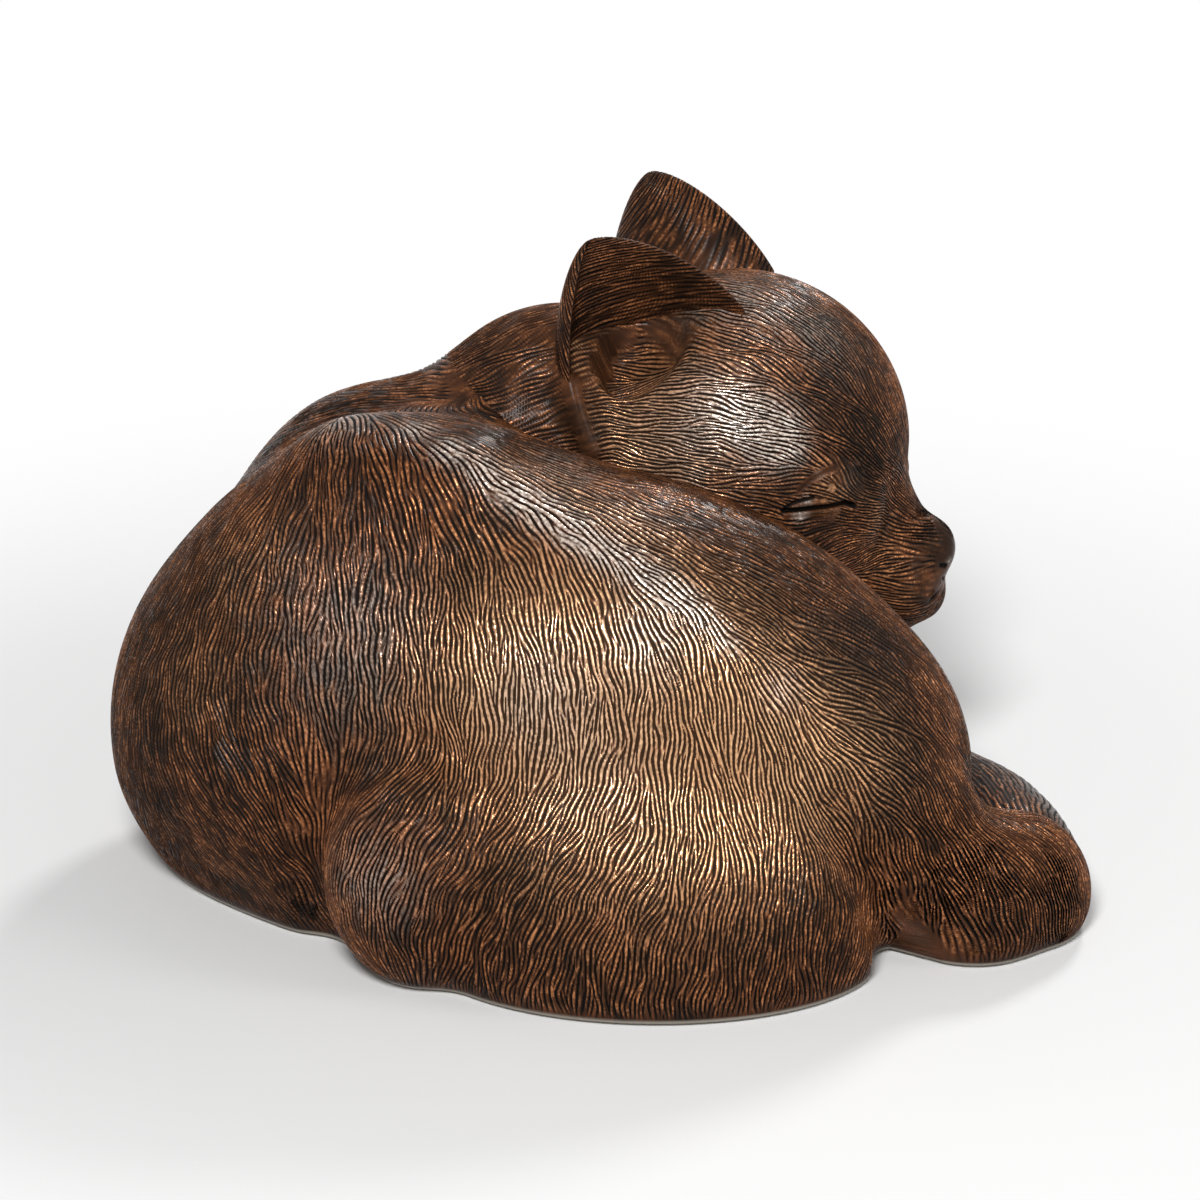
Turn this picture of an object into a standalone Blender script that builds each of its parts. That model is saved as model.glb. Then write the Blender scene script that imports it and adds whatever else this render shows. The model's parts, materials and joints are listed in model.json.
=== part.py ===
# Sleeping cat statue: a hollow cast body, a cast head, tail and forelegs bonded to it, and a
# closed underside on felt pads. Metres, +Z up, +X towards the tail, +Y the side it curls round.
# The castings are sculpted from turned ellipsoids and tapered chains that melt into each other.
# Each casting is a sphere whose points are pushed out onto that sculpted surface.
import math

import bmesh
import bpy
import numpy as np
from mathutils import Euler, Vector

# Driving dimensions
bond_gap = 0.0003
head_gap = 0.0004
body_wall = 0.007
rim_wall = 0.0045
rim_lift = 0.001
pad_thickness = 0.0017
pad_radius = 0.011
pad_margin = 0.005
plate_thickness = 0.004
ledge_depth = 0.0008
plug_radius = 0.011
plug_length = 0.009
plug_lip_width = 0.002
plug_lip_thickness = 0.001
neck_dowel_radius = 0.004
neck_dowel_length = 0.034
tail_dowel_radius = 0.003
tail_dowel_length = 0.030
ear_thickness = 0.0048
ear_cup = 0.019
ear_fold = 0.0095
skull_radius = 0.0435
spine_radius = 0.0115
tail_root_radius = 0.0215
tail_radius = 0.018
tail_tip_radius = 0.007
foreleg_radius = 0.016
paw_radius = 0.0135

# Where the finished statue's footprint centre lies in the sculpting coordinates
footprint_centre = Vector((-0.0010, 0.0028, 0.0))

plate_bottom = pad_thickness + bond_gap
plate_top = plate_bottom + plate_thickness
ledge_height = plate_top + ledge_depth
plate_centre = (-0.010, -0.022)
plate_reach = (0.050, 0.020)

# Body masses: centre, radii, turn in degrees, width of the blend into what is there already
torso_lumps = [
    ("ribs", (-0.058, -0.004, 0.042), (0.070, 0.064, 0.076), (0, 0, 0), 0.001),
    ("mid_back", (-0.006, -0.020, 0.060), (0.060, 0.056, 0.060), (0, 16, 0), 0.020),
    ("back_plane", (-0.0355, -0.0090, 0.0902), (0.0489, 0.0289, 0.0396), (0, 21.5, -15), 0.012),
    ("loin", (0.030, -0.0217, 0.0490), (0.054, 0.054, 0.0554), (0, 24, 0), 0.020),
    ("rump", (0.058, -0.0257, 0.0359), (0.039, 0.047, 0.042), (0, 30, -10), 0.016),
    ("shoulder", (-0.070, -0.016, 0.084), (0.030, 0.028, 0.038), (0, 20, 0), 0.022),
    ("far_shoulder", (-0.062, 0.034, 0.078), (0.034, 0.034, 0.042), (0, 0, 0), 0.018),
    ("chest", (-0.084, 0.008, 0.042), (0.040, 0.050, 0.042), (0, 0, 0), 0.020),
    ("lap", (0.002, 0.024, 0.006), (0.078, 0.040, 0.034), (0, 0, 0), 0.012),
]
hind_leg_lumps = [
    ("thigh", (0.010, -0.057, 0.018), (0.066, 0.043, 0.046), (0, 10, -2), 0.010),
    ("knee", (-0.046, -0.062, 0.030), (0.027, 0.028, 0.036), (0, -10, 10), 0.005),
]
spine_path = [
    (-0.064, -0.013, 0.1150), (-0.038, -0.024, 0.1160), (-0.013, -0.034, 0.1045),
    (0.013, -0.042, 0.0880), (0.039, -0.048, 0.0695), (0.064, -0.049, 0.0500),
    (0.086, -0.045, 0.0330),
]
spine_blend = 0.010
# Creases that are pressed into the body: path, half width, depth
body_creases = [
    ([
        (-0.0407, -0.0701, 0.0658), (-0.0509, -0.0714, 0.0639), (-0.0611, -0.0715, 0.0592),
        (-0.0696, -0.0695, 0.0492), (-0.0744, -0.0665, 0.0353), (-0.0751, -0.0596, 0.0190),
        (-0.0730, -0.0512, 0.0032),
    ], 0.0062, 0.0034),
    ([
        (0.0608, -0.0730, 0.0492), (0.0644, -0.0738, 0.0411), (0.0687, -0.0733, 0.0318),
        (0.0727, -0.0715, 0.0206), (0.0758, -0.0654, 0.0074), (0.0765, -0.0620, 0.0),
    ], 0.0058, 0.0058),
]
tail_root_path = [(0.076, -0.046, 0.022), (0.098, -0.045, 0.012), (0.108, -0.038, 0.010)]
belly_tuck_slope = (-0.55, -0.65, -0.52)
belly_tuck_reach = 0.074

# Head masses in the head's own frame: +X out of the muzzle, +Y its left, +Z its crown
head_centre = (0.038, 0.045, 0.108)
head_turn = (-4, 16, -14)
head_push_centre = (0.022, 0.042, 0.104)
head_lumps = [
    ("skull", (0, 0, 0), (skull_radius + 0.0025, skull_radius - 0.0005, skull_radius), (0, 0, 0), 0.001),
    ("right_cheek", (0.016, -0.019, -0.017), (0.027, 0.022, 0.023), (0, 0, 0), 0.012),
    ("left_cheek", (0.016, 0.019, -0.017), (0.027, 0.022, 0.023), (0, 0, 0), 0.012),
    ("muzzle", (0.0433, 0, -0.0205), (0.025, 0.017, 0.0139), (0, 20, 0), 0.012),
    ("bridge", (0.0405, 0, -0.0075), (0.0201, 0.009, 0.0084), (0, 24, 0), 0.010),
    ("nose", (0.0585, 0, -0.0129), (0.0074, 0.0065, 0.0077), (0, 0, 0), 0.005),
    ("right_whisker_pad", (0.0532, -0.007, -0.0244), (0.0099, 0.009, 0.0086), (0, 0, 0), 0.005),
    ("left_whisker_pad", (0.0532, 0.007, -0.0244), (0.0099, 0.009, 0.0086), (0, 0, 0), 0.005),
    ("chin", (0.049, 0, -0.0354), (0.0109, 0.010, 0.0074), (0, 0, 0), 0.006),
    ("right_lid", (0.033, -0.020, -0.003), (0.012, 0.010, 0.009), (0, 0, 0), 0.006),
    ("left_lid", (0.033, 0.020, -0.003), (0.012, 0.010, 0.009), (0, 0, 0), 0.006),
]
neck_lumps = [
    ("nape", (-0.0098, 0.0404, 0.1033), (0.0402, 0.0301, 0.0418), (0, -20, 10), 0.001),
    ("neck_root", (-0.0512, 0.0300, 0.0842), (0.0409, 0.0339, 0.0388), (0, -20, 0), 0.018),
]
neck_seat_point = (-0.022, 0.034, 0.0975)
neck_seat_normal = (0.88, 0.10, 0.46)

# Ears, as the right one lies in the head's frame; the left one is its mirror image
ear_front_base = (-0.0045, -0.0195, 0.0375)
ear_back_base = (-0.0320, -0.0400, -0.0110)
ear_tip = (-0.0495, -0.0371, 0.0486)
ear_fold_way = (-1.0, 0.0, 0.0)
# The hollow in the skull in front of each ear's shell: centre, radii, turn, blend
ear_hollow = ((-0.0286, -0.0280, 0.0210), (0.016, 0.010, 0.007), (-33, 65, -154), 0.003)

# Limb centrelines
tail_joint = (0.107, -0.031, 0.010)
tail_joint_normal = (-0.18, 0.98, 0.0)
tail_path = [
    tail_joint, (0.101, -0.008, 0.010), (0.086, 0.016, 0.010), (0.073, 0.042, 0.010),
    (0.055, 0.066, 0.010), (0.026, 0.084, 0.010), (-0.006, 0.092, 0.010),
    (-0.036, 0.089, 0.009), (-0.058, 0.079, 0.008),
]
right_foreleg_path = [
    (-0.056, 0.040, 0.044), (-0.024, 0.043, 0.044), (0.010, 0.045, 0.044),
    (0.042, 0.045, 0.043), (0.060, 0.042, 0.041),
]
left_foreleg_path = [
    (-0.062, 0.056, 0.022), (-0.030, 0.065, 0.017), (0.002, 0.066, 0.016), (0.030, 0.060, 0.015),
]


def turned(degrees):
    """Rotation matrix of Euler angles in degrees."""
    return np.array(Euler([math.radians(angle) for angle in degrees]).to_matrix())


def unit(vector):
    return np.array(vector, float) / np.linalg.norm(vector)


def smooth_min(first, second, width):
    """The lower of two distances, rounded off where they meet."""
    share = np.clip(0.5 + 0.5 * (second - first) / width, 0, 1)
    return second + (first - second) * share - width * share * (1 - share)


def smooth_max(first, second, width):
    return -smooth_min(-first, -second, width)


def lump_distance(points, centre, radii, degrees):
    """Near a turned ellipsoid's surface, about the distance to it, negative inside."""
    local = (points - np.array(centre)) @ turned(degrees)
    scaled = local / np.array(radii)
    near = np.linalg.norm(scaled, axis=-1) + 1e-9
    slope = np.linalg.norm(scaled / np.array(radii), axis=-1) + 1e-9
    return near * (near - 1) / slope


def lumps_distance(points, lumps, start=None):
    """Melts each lump into the ones before it."""
    distance = start
    for _, centre, radii, degrees, blend in lumps:
        lump = lump_distance(points, centre, radii, degrees)
        distance = lump if distance is None else smooth_min(distance, lump, blend)
    return distance


def chain_distance(points, path, radii):
    """Distance to a chain of straight links whose radius tapers from point to point."""
    distance = None
    for start, end, start_radius, end_radius in zip(path[:-1], path[1:], radii[:-1], radii[1:]):
        start = np.array(start)
        link = np.array(end) - start
        along = np.clip((points - start) @ link / (link @ link), 0, 1)
        away = np.linalg.norm(points - start - along[..., None] * link, axis=-1)
        piece = away - (start_radius + (end_radius - start_radius) * along)
        distance = piece if distance is None else smooth_min(distance, piece, 0.004)
    return distance


def side_of(points, point, normal):
    """Height above the plane through a point."""
    return (points - np.array(point)) @ unit(normal)


def neck_distance(points):
    return lumps_distance(points, neck_lumps)


def head_and_neck_distance(points):
    local = (points - np.array(head_centre)) @ turned(head_turn)
    head = smooth_min(lumps_distance(local, head_lumps), neck_distance(points), 0.014)
    centre, radii, degrees, blend = ear_hollow
    for side in (1, -1):
        head = smooth_max(head, -lump_distance(local * np.array([1, side, 1]), centre, radii, degrees), blend)
    return head


def head_distance(points):
    """The head down to its seat across the neck."""
    beyond = -side_of(points, neck_seat_point, neck_seat_normal)
    return np.maximum(head_and_neck_distance(points), beyond)


def trunk_distance(points):
    """The body without its tail root."""
    body = lumps_distance(points, torso_lumps)
    spine = chain_distance(points, spine_path, [spine_radius + 0.004, spine_radius + 0.003] + [spine_radius] * 5)
    body = smooth_min(body, spine, spine_blend)
    tuck = points @ unit(belly_tuck_slope) - belly_tuck_reach
    body = smooth_max(body, tuck, 0.014)
    body = lumps_distance(points, hind_leg_lumps, body)
    seat = side_of(points, neck_seat_point, neck_seat_normal)
    stump = np.maximum(neck_distance(points), seat)
    return smooth_min(body, stump, 0.014)


def crease_depth(points):
    """How far the creases sink the surface: each one a bell across its path."""
    sunk = 0 * points[..., 0]
    for path, half_width, depth in body_creases:
        away = chain_distance(points, path, [0] * len(path))
        sunk += depth * np.exp(-((away / half_width) ** 2))
    return sunk


def body_distance(points):
    root = chain_distance(points, tail_root_path, [tail_root_radius] * 3)
    return smooth_min(trunk_distance(points), root, 0.007) + crease_depth(points)


def smooth_path(path, share):
    """Point and direction at a share of the way along a smooth curve through the path."""
    path = np.array(path)
    place = np.clip(share, 0, 1) * (len(path) - 1)
    index = np.minimum(place.astype(int), len(path) - 2)
    part = (place - index)[:, None]
    before, start = path[np.maximum(index - 1, 0)], path[index]
    end, after = path[index + 1], path[np.minimum(index + 2, len(path) - 1)]
    start_slope, end_slope = (end - before) / 2, (after - start) / 2
    point = (
        start * (1 + 2 * part) * (1 - part) ** 2 + end * part**2 * (3 - 2 * part)
        + start_slope * part * (1 - part) ** 2 - end_slope * part**2 * (1 - part)
    )
    slope = (
        (end - start) * 6 * part * (1 - part) + start_slope * (1 - part) * (1 - 3 * part)
        + end_slope * part * (3 * part - 2)
    )
    return point, slope / np.linalg.norm(slope, axis=1)[:, None]


def limb_distance(points, path, radii):
    """Distance to a tapering limb round the smooth curve through its path."""
    share = np.linspace(0, 1, 3 * len(path) - 2)
    middles, _ = smooth_path(path, share)
    spread = np.interp(share, np.linspace(0, 1, len(radii)), radii)
    return chain_distance(points, list(middles), list(spread))


def tail_radii():
    """Full at the root, tapering evenly to the tip."""
    steps = len(tail_path) - 2
    swell = [tail_root_radius - 0.0005, tail_root_radius - 0.0015]
    taper = [tail_radius + (tail_tip_radius - tail_radius) * (step / steps) ** 2.2 for step in range(1, steps)]
    return swell + taper + [tail_tip_radius]


def tail_distance(points):
    return limb_distance(points, tail_path, tail_radii())


def foreleg_radii(path):
    wide, narrow = foreleg_radius + 0.002, foreleg_radius - 0.002
    count = len(path) - 1
    return [wide + (narrow - wide) * step / count for step in range(count)] + [paw_radius]


def right_foreleg_distance(points):
    return limb_distance(points, right_foreleg_path, foreleg_radii(right_foreleg_path))


def left_foreleg_distance(points):
    return limb_distance(points, left_foreleg_path, foreleg_radii(left_foreleg_path))


def nests_distance(points):
    """Everything that lies in a nest of the body."""
    nests = [head_distance, tail_distance, right_foreleg_distance, left_foreleg_distance]
    return np.min([nest(points) for nest in nests], axis=0)


def hollow_distance(points):
    """The room inside the body: a wall's thickness in from every outer face, nest and dowel."""
    outer = trunk_distance(points) + crease_depth(points) + body_wall
    nests = body_wall - nests_distance(points)
    half = np.array(neck_seat_normal) * neck_dowel_length / 2
    dowel = [np.array(neck_seat_point) - half, np.array(neck_seat_point) + half]
    boss = body_wall - chain_distance(points, dowel, [neck_dowel_radius] * 2)
    return smooth_max(smooth_max(outer, nests, 0.004), boss, 0.004)


def plate_edge_distance(points):
    """How far a point is inside the body's edge, at the rim and at the top of the plate."""
    levels = []
    for height in (rim_lift, ledge_height):
        level = points.copy()
        level[..., 2] = height
        edge = trunk_distance(level) + crease_depth(level)
        levels.append(np.maximum(edge, -nests_distance(level)))
    return np.maximum(*levels)


def walk_in(distance, origins, directions, reach):
    """Travels from outside towards the origins until it meets the surface."""
    travel = np.full(len(origins), reach)
    for _ in range(60):
        travel = np.maximum(travel - 0.8 * distance(origins + directions * travel[:, None]), 0.0005)
    step = 0.00005
    for _ in range(4):
        here = distance(origins + directions * travel[:, None])
        slope = (distance(origins + directions * (travel + step)[:, None]) - here) / step
        travel = travel - np.clip(here / np.maximum(slope, 0.1), -0.002, 0.002)
    return origins + directions * travel[:, None]


def walk_out(distance, origins, directions):
    """Travels from the origins, which are inside, until it meets the surface."""
    travel = np.zeros(len(origins))
    for _ in range(60):
        travel = travel + 0.8 * np.maximum(-distance(origins + directions * travel[:, None]), 0)
    return origins + directions * travel[:, None]


def sphere_mesh(name, segments, rings):
    """A unit sphere's mesh and its points, ready to be pushed."""
    sphere = bmesh.new()
    bmesh.ops.create_uvsphere(sphere, u_segments=segments, v_segments=rings, radius=1)
    mesh = bpy.data.meshes.new(name)
    sphere.to_mesh(mesh)
    sphere.free()
    points = np.empty(len(mesh.vertices) * 3)
    mesh.vertices.foreach_get("co", points)
    points = points.reshape(-1, 3)
    return mesh, points / np.linalg.norm(points, axis=1)[:, None]


def set_points(mesh, points):
    mesh.vertices.foreach_set("co", np.ascontiguousarray(points, dtype=np.float32).ravel())
    mesh.update()


def sphere_angles(points):
    around = np.arctan2(points[:, 1], points[:, 0])
    rise = np.arcsin(np.clip(points[:, 2], -1, 1))
    return around, rise


def ball_form(name, distance, centre, segments, rings):
    """A sphere pushed out from one centre."""
    mesh, directions = sphere_mesh(name, segments, rings)
    origins = np.tile(np.array(centre), (len(directions), 1))
    set_points(mesh, walk_in(distance, origins, directions, 0.16))
    return bpy.data.objects.new(name, mesh)


def dome_form(name, distance, floor, segments, rings, outwards=False):
    """A sphere pushed out from a flat ring at floor height, its lower half folded flat."""
    mesh, sphere = sphere_mesh(name, segments, rings)
    around, rise = sphere_angles(sphere)
    centre = np.array([*plate_centre, floor])
    reach = np.array([*plate_reach, 0])
    ring = np.stack([np.cos(around), np.sin(around), 0 * around], axis=1)
    upper = np.maximum(rise, 0)
    origins = centre + reach * ring * np.cos(upper)[:, None]
    directions = ring * np.cos(upper)[:, None] + np.array([0, 0, 1]) * np.sin(upper)[:, None]
    walk = walk_out(distance, origins, directions) if outwards else walk_in(distance, origins, directions, 0.18)
    fold = np.cos(np.minimum(rise, 0))[:, None]
    set_points(mesh, centre + (walk - centre) * fold)
    return bpy.data.objects.new(name, mesh)


def limb_form(name, distance, path, rings):
    """A sphere drawn out along a path and pushed onto the limb's surface."""
    mesh, sphere = sphere_mesh(name, 16, rings)
    around, rise = sphere_angles(sphere)
    share = rise / math.pi + 0.5
    cap = 0.12
    point, forward = smooth_path(path, (share - cap) / (1 - 2 * cap))
    lean = np.clip((share - (1 - cap)) / cap, 0, 1) - np.clip((cap - share) / cap, 0, 1)
    lean = lean * math.pi / 2
    side = np.cross([0, 0, 1], forward)
    side = side / np.linalg.norm(side, axis=1)[:, None]
    up = np.cross(forward, side)
    spoke = side * np.cos(around)[:, None] + up * np.sin(around)[:, None]
    directions = spoke * np.cos(lean)[:, None] + forward * np.sin(lean)[:, None]
    set_points(mesh, walk_in(distance, point, directions, 0.032))
    return bpy.data.objects.new(name, mesh)


def ear_sheet(across, height):
    """The middle of the ear's shell: a cup between its two edges, folded back near the rear one."""
    front, back, tip = np.array(ear_front_base), np.array(ear_back_base), np.array(ear_tip)
    chord = back - front
    out = unit(np.cross(chord, tip - (front + back) / 2))
    width = (1 - height**1.5) ** 0.75 * np.clip(height / 0.06, 0, 1) ** 0.5
    cup = ear_cup * (1 - across**2) * width * (1 - 0.35 * height)
    fold = ear_fold * 0.59 * (1 - across) * (1 + across) ** 3 * width
    middle = (front + back) / 2 * (1 - height) + tip * height
    return middle + chord / 2 * across * width + out * cup + np.array(ear_fold_way) * fold


def ear_form(name, side):
    """A sphere flattened onto both faces of the ear's shell, which stands on the skull."""
    mesh, sphere = sphere_mesh(name, 24, 14)
    around, rise = sphere_angles(sphere)
    height = np.clip(rise / math.pi + 0.5, 0, 1)[:, None]
    across = np.cos(around)[:, None]
    thick = ear_thickness / 2 * np.sin(around)[:, None] * np.sqrt(1 - height**4) * np.clip(height / 0.06, 0, 1)
    inner_across, inner_height = np.clip(across, -0.95, 0.95), np.clip(height, 0.08, 0.92)
    front, back, tip = np.array(ear_front_base), np.array(ear_back_base), np.array(ear_tip)
    plain = unit(np.cross(back - front, tip - (front + back) / 2))
    step = 0.01
    over = ear_sheet(inner_across + step, inner_height) - ear_sheet(inner_across - step, inner_height)
    up = ear_sheet(inner_across, inner_height + step) - ear_sheet(inner_across, inner_height - step)
    square = np.cross(over, up)
    square = square / np.linalg.norm(square, axis=1)[:, None]
    square = plain + (square - plain) * np.clip((height - 0.05) / 0.15, 0, 1)
    points = ear_sheet(across, height) + square * thick
    if side > 0:
        points = points * np.array([1, -1, 1])
    set_points(mesh, points @ turned(head_turn).T + np.array(head_centre))
    if side < 0:
        mesh.flip_normals()
    return bpy.data.objects.new(name, mesh)


def plate_outline(steps):
    """The underside's opening: a rim's width in from the edge, with the body's creases rounded off."""
    angles = np.linspace(0, 2 * math.pi, steps, endpoint=False)
    ring = np.stack([np.cos(angles), np.sin(angles), 0 * angles], axis=1)
    origins = np.array([*plate_centre, 0]) + np.array([*plate_reach, 0]) * ring
    edge = walk_out(lambda points: plate_edge_distance(points) + rim_wall, origins, ring)
    length = np.linalg.norm(edge - origins, axis=1)
    nearby = range(-2, 3)
    length = np.min([np.roll(length, shift) for shift in nearby], axis=0)
    length = np.mean([np.roll(length, shift) for shift in nearby], axis=0)
    return origins + ring * length[:, None]


def disc_form(name, outline, bottom, top, inset=0.0):
    """A flat plate with the given outline, drawn in by an inset."""
    middle = outline.mean(axis=0)
    spokes = outline - middle
    length = np.linalg.norm(spokes, axis=1)[:, None]
    edge = middle + spokes * (1 - inset / length)
    plate = bmesh.new()
    bmesh.ops.create_circle(plate, cap_ends=True, segments=len(edge), radius=1)
    plate.verts.ensure_lookup_table()
    start = int(np.argmin([abs(math.atan2(vert.co.y, vert.co.x)) for vert in plate.verts]))
    for step, vert in enumerate(plate.verts):
        vert.co = edge[(step - start) % len(edge)] * np.array([1, 1, 0]) + np.array([0, 0, bottom])
    grown = bmesh.ops.extrude_face_region(plate, geom=plate.faces[:])
    for item in grown["geom"]:
        if isinstance(item, bmesh.types.BMVert):
            item.co.z = top
    bmesh.ops.recalc_face_normals(plate, faces=plate.faces[:])
    mesh = bpy.data.meshes.new(name)
    plate.to_mesh(mesh)
    plate.free()
    return bpy.data.objects.new(name, mesh)


def rod_form(name, middle, along, radius, length, segments=24):
    """A round rod centred on a point."""
    rod = bmesh.new()
    bmesh.ops.create_cone(
        rod, cap_ends=True, segments=segments, radius1=radius, radius2=radius, depth=length
    )
    mesh = bpy.data.meshes.new(name)
    rod.to_mesh(mesh)
    rod.free()
    made = bpy.data.objects.new(name, mesh)
    made.location = Vector(middle)
    made.rotation_euler = Vector(along).to_track_quat("Z", "Y").to_euler()
    return made


def block_form(name, point, normal, size=0.4):
    """A block whose one face lies on the plane through a point, with the rest of it behind."""
    block = bmesh.new()
    bmesh.ops.create_cube(block, size=size)
    mesh = bpy.data.meshes.new(name)
    block.to_mesh(mesh)
    block.free()
    made = bpy.data.objects.new(name, mesh)
    made.location = Vector(point) - Vector(normal).normalized() * size / 2
    made.rotation_euler = Vector(normal).to_track_quat("Z", "Y").to_euler()
    return made


def make_material(name, colour, roughness, metallic):
    material = bpy.data.materials.new(name)
    material.use_nodes = True
    shader = material.node_tree.nodes["Principled BSDF"]
    shader.inputs["Base Color"].default_value = (*colour, 1)
    shader.inputs["Roughness"].default_value = roughness
    shader.inputs["Metallic"].default_value = metallic
    return material


def add_part(made, material):
    """Takes a finished object into the statue, smooth except at its sharp edges."""
    made.parent = origin
    made.data.materials.append(material)
    made.data.shade_smooth()
    made.data.set_sharp_from_angle(angle=math.radians(50))
    statue.objects.link(made)
    return made


def add_cutter(made):
    made.parent = origin
    made.hide_render = True
    made.display_type = "WIRE"
    cutters.objects.link(made)
    return made


def nest_of(made, gap=bond_gap):
    """A cutter like the piece, one gap larger all round."""
    nest = bpy.data.objects.new(made.name + "_nest", made.data)
    grown = nest.modifiers.new("bond_gap", "DISPLACE")
    grown.mid_level = 0
    grown.strength = gap
    return add_cutter(nest)


def cut(made, cutter, operation="DIFFERENCE"):
    modifier = made.modifiers.new(f"{operation.lower()}_{cutter.name}", "BOOLEAN")
    modifier.operation = operation
    modifier.solver = "EXACT"
    modifier.object = cutter


def island_of(start):
    """All the faces that can be reached from one face across shared edges."""
    found, waiting = {start}, [start]
    while waiting:
        for edge in waiting.pop().edges:
            for face in edge.link_faces:
                if face not in found:
                    found.add(face)
                    waiting.append(face)
    return found


def settle_cuts(made):
    """Applies a casting's cuts and drops the loose chips that they leave between two nests."""
    graph = bpy.context.evaluated_depsgraph_get()
    whole = bmesh.new()
    whole.from_mesh(bpy.data.meshes.new_from_object(made.evaluated_get(graph)))
    left, islands = set(whole.faces), []
    while left:
        island = island_of(next(iter(left)))
        islands.append(island)
        left -= island
    chips = [face for island in islands if island is not max(islands, key=len) for face in island]
    bmesh.ops.delete(whole, geom=chips, context="FACES")
    made.modifiers.clear()
    whole.to_mesh(made.data)
    whole.free()


def cut_at_plane(made, nest, name, point, normal):
    """Trims a casting at its seat, and the nest it lies in one gap further out."""
    cut(made, add_cutter(block_form(name, point, normal)))
    further = Vector(point) - Vector(normal).normalized() * bond_gap
    cut(nest, add_cutter(block_form(name + "_in_nest", further, normal)))


for old in list(bpy.data.objects):
    bpy.data.objects.remove(old, do_unlink=True)

statue = bpy.data.collections.new("sleeping_cat_statue")
cutters = bpy.data.collections.new("cutters")
cutters.hide_render = True
for collection in (statue, cutters):
    bpy.context.scene.collection.children.link(collection)

origin = bpy.data.objects.new("statue_origin", None)
origin.location = -footprint_centre
statue.objects.link(origin)

bronze = make_material("bronze_body", (0.16, 0.075, 0.035), 0.38, 0.75)
bronze_head = make_material("bronze_head", (0.17, 0.08, 0.038), 0.38, 0.75)
bronze_tail = make_material("bronze_tail", (0.15, 0.07, 0.034), 0.40, 0.75)
bronze_right_leg = make_material("bronze_right_foreleg", (0.15, 0.07, 0.034), 0.40, 0.75)
bronze_left_leg = make_material("bronze_left_foreleg", (0.15, 0.07, 0.034), 0.40, 0.75)
board = make_material("plate_fibreboard", (0.10, 0.08, 0.06), 0.80, 0.0)
rubber = make_material("plug_rubber", (0.03, 0.03, 0.03), 0.70, 0.0)
felt = make_material("felt", (0.04, 0.04, 0.04), 0.95, 0.0)
steel = make_material("dowel_steel", (0.55, 0.55, 0.56), 0.35, 1.0)

limbs = {
    "right_foreleg": (right_foreleg_distance, right_foreleg_path, 22, bronze_right_leg),
    "left_foreleg": (left_foreleg_distance, left_foreleg_path, 22, bronze_left_leg),
    "tail_casting": (tail_distance, tail_path, 40, bronze_tail),
}
ground = add_cutter(block_form("ground", (0, 0, rim_lift), (0, 0, 1)))
limb_parts, limb_nests = {}, {}
for name, (distance, path, rings, material) in limbs.items():
    limb_parts[name] = add_part(limb_form(name, distance, path, rings), material)
    limb_nests[name] = nest_of(limb_parts[name])
    cut(limb_parts[name], ground)
cut_at_plane(
    limb_parts["tail_casting"], limb_nests["tail_casting"], "tail_seat", tail_joint, tail_joint_normal
)

head = add_part(ball_form("head_casting", head_and_neck_distance, head_push_centre, 50, 34), bronze_head)
head_nest = nest_of(head, head_gap)
cut_at_plane(head, head_nest, "neck_seat", neck_seat_point, neck_seat_normal)
ear_nests = []
for name, side in (("right_ear", -1), ("left_ear", 1)):
    ear = add_cutter(ear_form(name, side))
    ear_nests.append(nest_of(ear, head_gap))
    cut(head, ear, "UNION")

body = add_part(dome_form("body_shell", body_distance, rim_lift, 72, 50), bronze)
hollow = add_cutter(dome_form("hollow", hollow_distance, ledge_height, 36, 22, outwards=True))
opening_outline = plate_outline(56)
opening = add_cutter(disc_form("plate_opening", opening_outline, -rim_lift, ledge_height + 0.0001))
for cutter in (hollow, opening, head_nest, *ear_nests, *limb_nests.values()):
    cut(body, cutter)

cut(limb_parts["right_foreleg"], head_nest)
cut(limb_parts["left_foreleg"], head_nest)
cut(limb_parts["left_foreleg"], limb_nests["right_foreleg"])
cut(limb_parts["tail_casting"], limb_nests["left_foreleg"])
cut(limb_parts["tail_casting"], limb_nests["right_foreleg"])

# The underside: a plate in the opening, a stopper in its filling hole and felt pads under it
plate = add_part(disc_form("base_plate", opening_outline, plate_bottom, plate_top, bond_gap), board)
plug_place = (*plate_centre, 0.0)
hole_length = 4 * plate_thickness
hole_middle = (*plate_centre, plate_bottom)
cut(plate, add_cutter(
    rod_form("plug_hole", hole_middle, (0, 0, 1), plug_radius + bond_gap, hole_length, 36)
))
lip_top = plate_bottom - bond_gap
shank_middle = (*plate_centre, lip_top - plug_lip_thickness + plug_length / 2)
plug = add_part(rod_form("pour_plug", shank_middle, (0, 0, 1), plug_radius, plug_length, 36), rubber)
lip_middle = (*plate_centre, lip_top - plug_lip_thickness / 2)
lip_radius = plug_radius + plug_lip_width
cut(plug, add_cutter(
    rod_form("plug_lip", lip_middle, (0, 0, 1), lip_radius, plug_lip_thickness, 36)
), "UNION")

pad_angles = (28, 152, 196, 328)
spread = (opening_outline - np.array([*plate_centre, 0])) * np.array([1, 1, 0])
bearing = np.degrees(np.arctan2(spread[:, 1], spread[:, 0])) % 360
for number, angle in enumerate(pad_angles, start=1):
    nearest = int(np.argmin(np.abs((bearing - angle + 180) % 360 - 180)))
    inwards = 1 - (pad_radius + pad_margin) / np.linalg.norm(spread[nearest])
    place = np.array([*plate_centre, 0]) + spread[nearest] * inwards
    middle = (place[0], place[1], pad_thickness / 2)
    add_part(rod_form(f"felt_pad_{number}", middle, (0, 0, 1), pad_radius, pad_thickness, 28), felt)

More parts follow.
